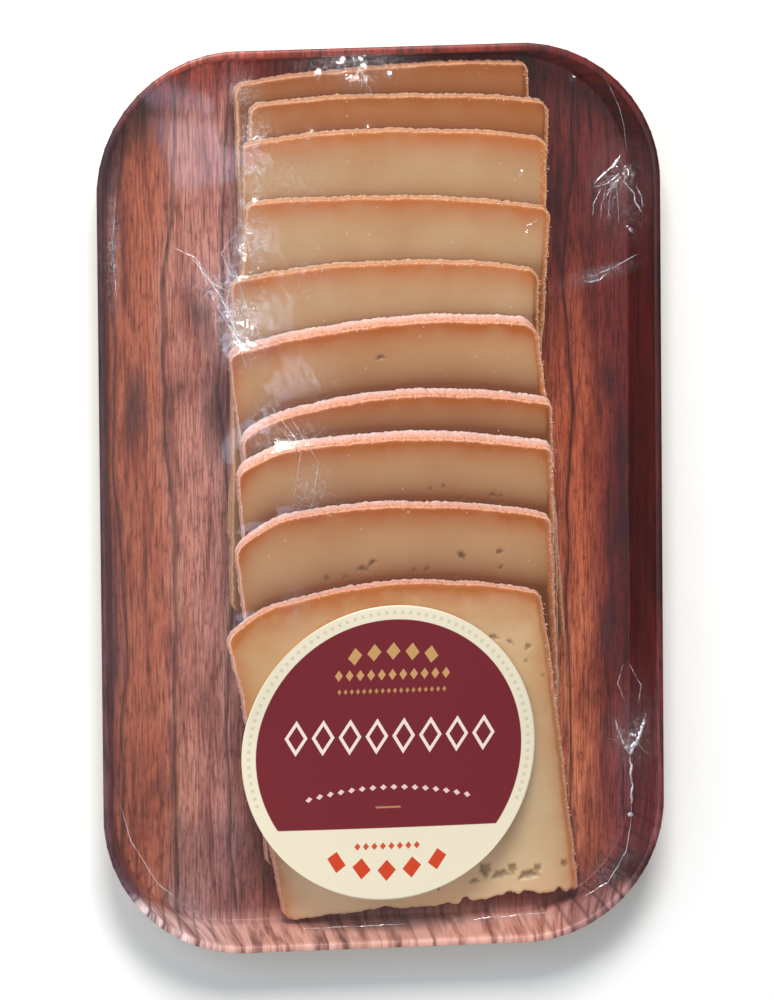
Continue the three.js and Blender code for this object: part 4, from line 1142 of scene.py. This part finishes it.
# %% Material of the label: offset print on coated paper
def label_material():
    """Printed paper: each ink is laid where a distance in the label's plane, whose edge
    is at 1, stays under a size."""
    material, tree = new_material("coated_paper_offset_print")
    place = add(tree, "Attribute", attribute_name="label_place").outputs["Vector"]
    parts = add(tree, "SeparateXYZ", {0: place})
    x, y = parts.outputs["X"], parts.outputs["Y"]
    radius = add(tree, "VectorMath", {0: place}, operation="LENGTH").outputs["Value"]
    edge = 0.005

    def shape(distance, size):
        """1 where the distance is under size, with a soft edge of 0.2 mm."""
        return add(tree, "MapRange", {
            "Value": distance, "From Min": size + edge / 2, "From Max": size - edge / 2}).outputs["Result"]

    def both(first, second):
        """The part where two shapes overlap."""
        return add(tree, "Math", {0: first, 1: second}, operation="MULTIPLY").outputs[0]

    def sum_of(first, second):
        """A value plus another."""
        return add(tree, "Math", {0: first, 1: second}, operation="ADD").outputs[0]

    def size_of(value):
        """A value without its sign."""
        return add(tree, "Math", {0: value}, operation="ABSOLUTE").outputs[0]

    def paint(colour, mask, code):
        """Lays one printing ink over what is there."""
        return add(tree, "Mix", {"Factor": mask, 6: colour, 7: linear(code)}, data_type="RGBA").outputs[2]

    def lozenges(count, pitch, tall, centre_y, bend):
        """A row of lozenges along x: each one's distance is |x| / half pitch plus
        |y| / half height, with y bent into an arc by bend times x squared."""
        cell = add(tree, "Math", {0: x, 1: pitch}, operation="DIVIDE").outputs[0]
        cell = sum_of(cell, 0.5 * (count % 2))
        cell = add(tree, "Math", {0: cell}, operation="FRACT").outputs[0]
        cell = size_of(sum_of(cell, -0.5))
        arc = add(tree, "Math", {0: both(x, x), 1: bend}, operation="MULTIPLY").outputs[0]
        level = size_of(sum_of(sum_of(y, -centre_y), arc))
        level = add(tree, "Math", {0: level, 1: tall}, operation="DIVIDE").outputs[0]
        wide = add(tree, "Math", {0: cell, 1: 2.3}, operation="MULTIPLY").outputs[0]
        return sum_of(wide, level), shape(size_of(x), count * pitch / 2)

    cream = linear("#ece1c6")
    down = add(tree, "Math", {0: y, 1: -1.0}, operation="MULTIPLY").outputs[0]
    disc = both(shape(radius, 0.905), shape(down, 0.513))
    colour = paint(cream_socket(tree, cream), disc, "#75242d")
    # The main ornament: a row of open lozenges
    far, reach = lozenges(8, 0.1825, 0.125, 0.111, 0.0)
    hole = add(tree, "Math", {0: 1.0, 1: shape(far, 0.66)}, operation="SUBTRACT").outputs[0]
    colour = paint(colour, both(both(shape(far, 0.98), hole), reach), "#f3ddd6")
    # Pale dots on an arc, a fine rule, and a gold crest over two rows of lozenges
    far, reach = lozenges(16, 0.072, 0.026, -0.236, 0.242)
    colour = paint(colour, both(shape(far, 0.75), reach), "#e6c9c4")
    rule = both(shape(size_of(x), 0.085), shape(size_of(sum_of(y, 0.372)), 0.006))
    colour = paint(colour, rule, "#b5865a")
    far, reach = lozenges(5, 0.13, 0.07, 0.69, 0.45)
    colour = paint(colour, both(shape(far, 0.85), reach), "#c79a62")
    far, reach = lozenges(11, 0.073, 0.045, 0.53, 0.0)
    colour = paint(colour, both(shape(far, 0.85), reach), "#c79a62")
    far, reach = lozenges(18, 0.042, 0.026, 0.42, 0.0)
    colour = paint(colour, both(shape(far, 0.75), reach), "#b88a58")
    # Red ornament on the cream foot of the label
    far, reach = lozenges(8, 0.058, 0.03, -0.635, 0.0)
    colour = paint(colour, both(shape(far, 0.85), reach), "#cf5337")
    far, reach = lozenges(5, 0.172, 0.085, -0.80, -0.55)
    colour = paint(colour, both(shape(far, 0.85), reach), "#cf4526")
    # Fine grey ticks round the ring, left out at the foot
    angle = add(tree, "Math", {0: y, 1: x}, operation="ARCTAN2").outputs[0]
    tick = add(tree, "Math", {0: angle, 1: 17.5}, operation="MULTIPLY").outputs[0]
    tick = add(tree, "Math", {0: tick}, operation="FRACT").outputs[0]
    tick = both(shape(size_of(sum_of(tick, -0.5)), 0.20), shape(size_of(sum_of(radius, -0.952)), 0.012))
    faint = add(tree, "Math", {0: both(tick, shape(down, 0.36)), 1: 0.32}, operation="MULTIPLY").outputs[0]
    colour = paint(colour, faint, "#8f9081")
    # Paper fibre, hardly to be felt under the coating
    fibre = add(tree, "TexNoise", {"Vector": place, "Scale": 60.0, "Detail": 4.0}).outputs["Fac"]
    bump = add(tree, "Bump", {"Strength": 0.06, "Distance": 0.00003, "Height": fibre}).outputs["Normal"]
    shader = add(tree, "BsdfPrincipled", {
        "Base Color": colour, "Roughness": 0.5, "IOR": 1.5, "Specular IOR Level": 0.25, "Normal": bump})
    add(tree, "OutputMaterial", {"Surface": shader.outputs[0]})
    return material


def cream_socket(tree, colour):
    """The bare paper, a touch uneven, so that the print has something to lie on."""
    place = add(tree, "TexCoord").outputs["Object"]
    cloud = add(tree, "TexNoise", {"Vector": place, "Scale": 80.0}).outputs["Fac"]
    darker = tuple(channel * 0.97 for channel in colour[:3]) + (1.0,)
    return add(tree, "Mix", {"Factor": cloud, 6: colour, 7: darker}, data_type="RGBA").outputs[2]


LABEL = label_material()


# %% The label's mesh: a square grid pulled round, laid on the film
LABEL_UNDER, LABEL_OVER = 0.12, 0.30     # its two faces above the film


def label_piece():
    """A square grid pulled round: x is u times the root of 1 - v squared / 2, and y
    the same with u and v exchanged."""
    share = np.linspace(-1, 1, 150)
    u, v = np.meshgrid(share, share)
    px, py = u * np.sqrt(1 - v * v / 2), v * np.sqrt(1 - u * u / 2)
    x, y = LABEL_X + LABEL_RX * px, LABEL_Y + LABEL_RY * py
    # Paper is stiffer than film: it lies on the highest of the film round each place
    level = film_level(x, y)
    for dx, dy in ((1.5, 0), (-1.5, 0), (0, 1.5), (0, -1.5)):
        level = np.maximum(level, film_level(x + dx, y + dy) - 0.05)
    top = np.stack([x, y, level + LABEL_OVER], 2).reshape(-1, 3)
    bottom = np.stack([x, y, level + LABEL_UNDER], 2).reshape(-1, 3)
    rows, columns = x.shape
    rim = rim_indices(rows, columns)
    quads = np.concatenate([grid_quads(rows, columns), grid_quads(rows, columns, rows * columns)[:, ::-1],
                            ring_quads(rim, rim + rows * columns)])
    flat = np.stack([px, py, 0 * px], 2).reshape(-1, 3)
    piece = mesh_piece("round_label", np.concatenate([top, bottom]), quads, LABEL,
                       {"label_place": np.concatenate([flat, flat])})
    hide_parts("label")
    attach(piece, "root")
    return piece


label_piece()

# %% [markdown]
# ## Floor, light and camera
# The pack lies on a plain white table. A long lens far away keeps its sides
# parallel. It looks down from a little to the left and from beyond the top edge,
# so more of the right and lower walls shows. The soft key light stands beyond the
# top edge too and lights the lower wall. A faint blue sky stands at the left, two
# skylight panes are mirrored by the film at the upper left, and the room is darker
# on the right.

# %% Table
floor_material, floor_tree = new_material("table_matt_white")
floor_place = add(floor_tree, "TexCoord").outputs["Object"]
floor_cloud = add(floor_tree, "TexNoise", {"Vector": floor_place, "Scale": 3.0}).outputs["Fac"]
floor_tone = ramp(floor_tree, floor_cloud, [(0.3, "#f4f4f3"), (0.7, "#f7f7f6")])
floor_shader = add(floor_tree, "BsdfPrincipled", {"Base Color": floor_tone, "Roughness": 0.8})
add(floor_tree, "OutputMaterial", {"Surface": floor_shader.outputs[0]})
TABLE_HALF, TABLE_BELOW = 3000.0, 0.3
table_corners = np.array([(-1, -1, 0), (1, -1, 0), (1, 1, 0), (-1, 1, 0)])
table_points = table_corners * (TABLE_HALF, TABLE_HALF, 1) - (0, 0, TABLE_BELOW)
table = mesh_piece("table_top", table_points, np.array([[0, 1, 2, 3]]), floor_material)


# %% Lights
def area_light(name, place, target, size, power, colour=(1, 1, 1)):
    """A soft light at a place in metres, size wide and tall, turned to a target."""
    data = bpy.data.lights.new(name, "AREA")
    data.shape, data.size, data.size_y = "RECTANGLE", *size
    data.energy, data.color = power, colour
    light = bpy.data.objects.new(name, data)
    light.location = place
    out = (Vector(place) - Vector(target)).normalized()
    sideways = (Vector((1, 0, 0)) - out * out.x).normalized()
    light.rotation_euler = Matrix((sideways, out.cross(sideways), out)).transposed().to_euler()
    bpy.context.scene.collection.objects.link(light)
    return light


area_light("key_softbox", (-0.12, 0.94, 1.18), (0, 0, 0.02), (0.5, 0.5), 21.0, (1.0, 0.975, 0.95))
area_light("window_sky", (-0.88, 0.44, 1.20), (0, 0, 0), (0.95, 0.22), 2.3, (0.55, 0.75, 1.0))
area_light("skylight_wide_pane", (-0.19, 0.22, 1.20), (0, 0, 0), (0.17, 0.16), 0.27, (0.62, 0.72, 1.0))
area_light("skylight_thin_pane", (-0.055, 0.22, 1.20), (0, 0, 0), (0.05, 0.16), 0.08, (0.62, 0.72, 1.0))
world = bpy.data.worlds.new("pale_room_darker_on_the_right")
bpy.context.scene.world = world
world.use_nodes = True
world_tree = world.node_tree
world_tree.nodes.clear()
toward = add(world_tree, "SeparateXYZ", {0: add(world_tree, "TexCoord").outputs["Generated"]}).outputs["X"]
strength = add(world_tree, "MapRange", {
    "Value": toward, "From Min": -0.7, "From Max": 0.7, "To Min": 0.84, "To Max": 0.14}).outputs["Result"]
room = add(world_tree, "Background", {"Color": (0.96, 0.98, 1.0, 1.0), "Strength": strength})
add(world_tree, "OutputWorld", {"Surface": room.outputs[0]})

# %% Camera
PIXEL_MM = 0.2380            # size of a pixel of the picture at the lip
PICTURE_ROWS = 1000
SENSOR_MM = 36.0
CAMERA_AWAY = 4.0            # metres
LEAN_LEFT, LEAN_UP = math.radians(9.5), math.radians(9.0)
AIM = (0.0042, -0.0030, 0.0)
ROLL = math.radians(0.5)     # the pack stands a little askew in the picture
camera_data = bpy.data.cameras.new("long_lens")
camera = bpy.data.objects.new("long_lens", camera_data)
bpy.context.scene.collection.objects.link(camera)
direction = Vector((-math.tan(LEAN_LEFT), math.tan(LEAN_UP), 1.0)).normalized()
camera.location = Vector(AIM) + direction * CAMERA_AWAY
# The picture's upright is the tray's length, so the camera is built from three axes
back = direction
right = Vector((0, 1, 0)).cross(back).normalized()
up = back.cross(right)
turned = right * math.cos(ROLL) - up * math.sin(ROLL)
right, up = turned, back.cross(turned)
camera.rotation_euler = Matrix((right, up, back)).transposed().to_euler()
camera_data.sensor_fit = "VERTICAL"
camera_data.sensor_height = SENSOR_MM
camera_data.lens = SENSOR_MM * CAMERA_AWAY / (PICTURE_ROWS * PIXEL_MM * MM)
camera_data.clip_end = 50
bpy.context.scene.camera = camera
bpy.context.scene.view_settings.view_transform = "Standard"
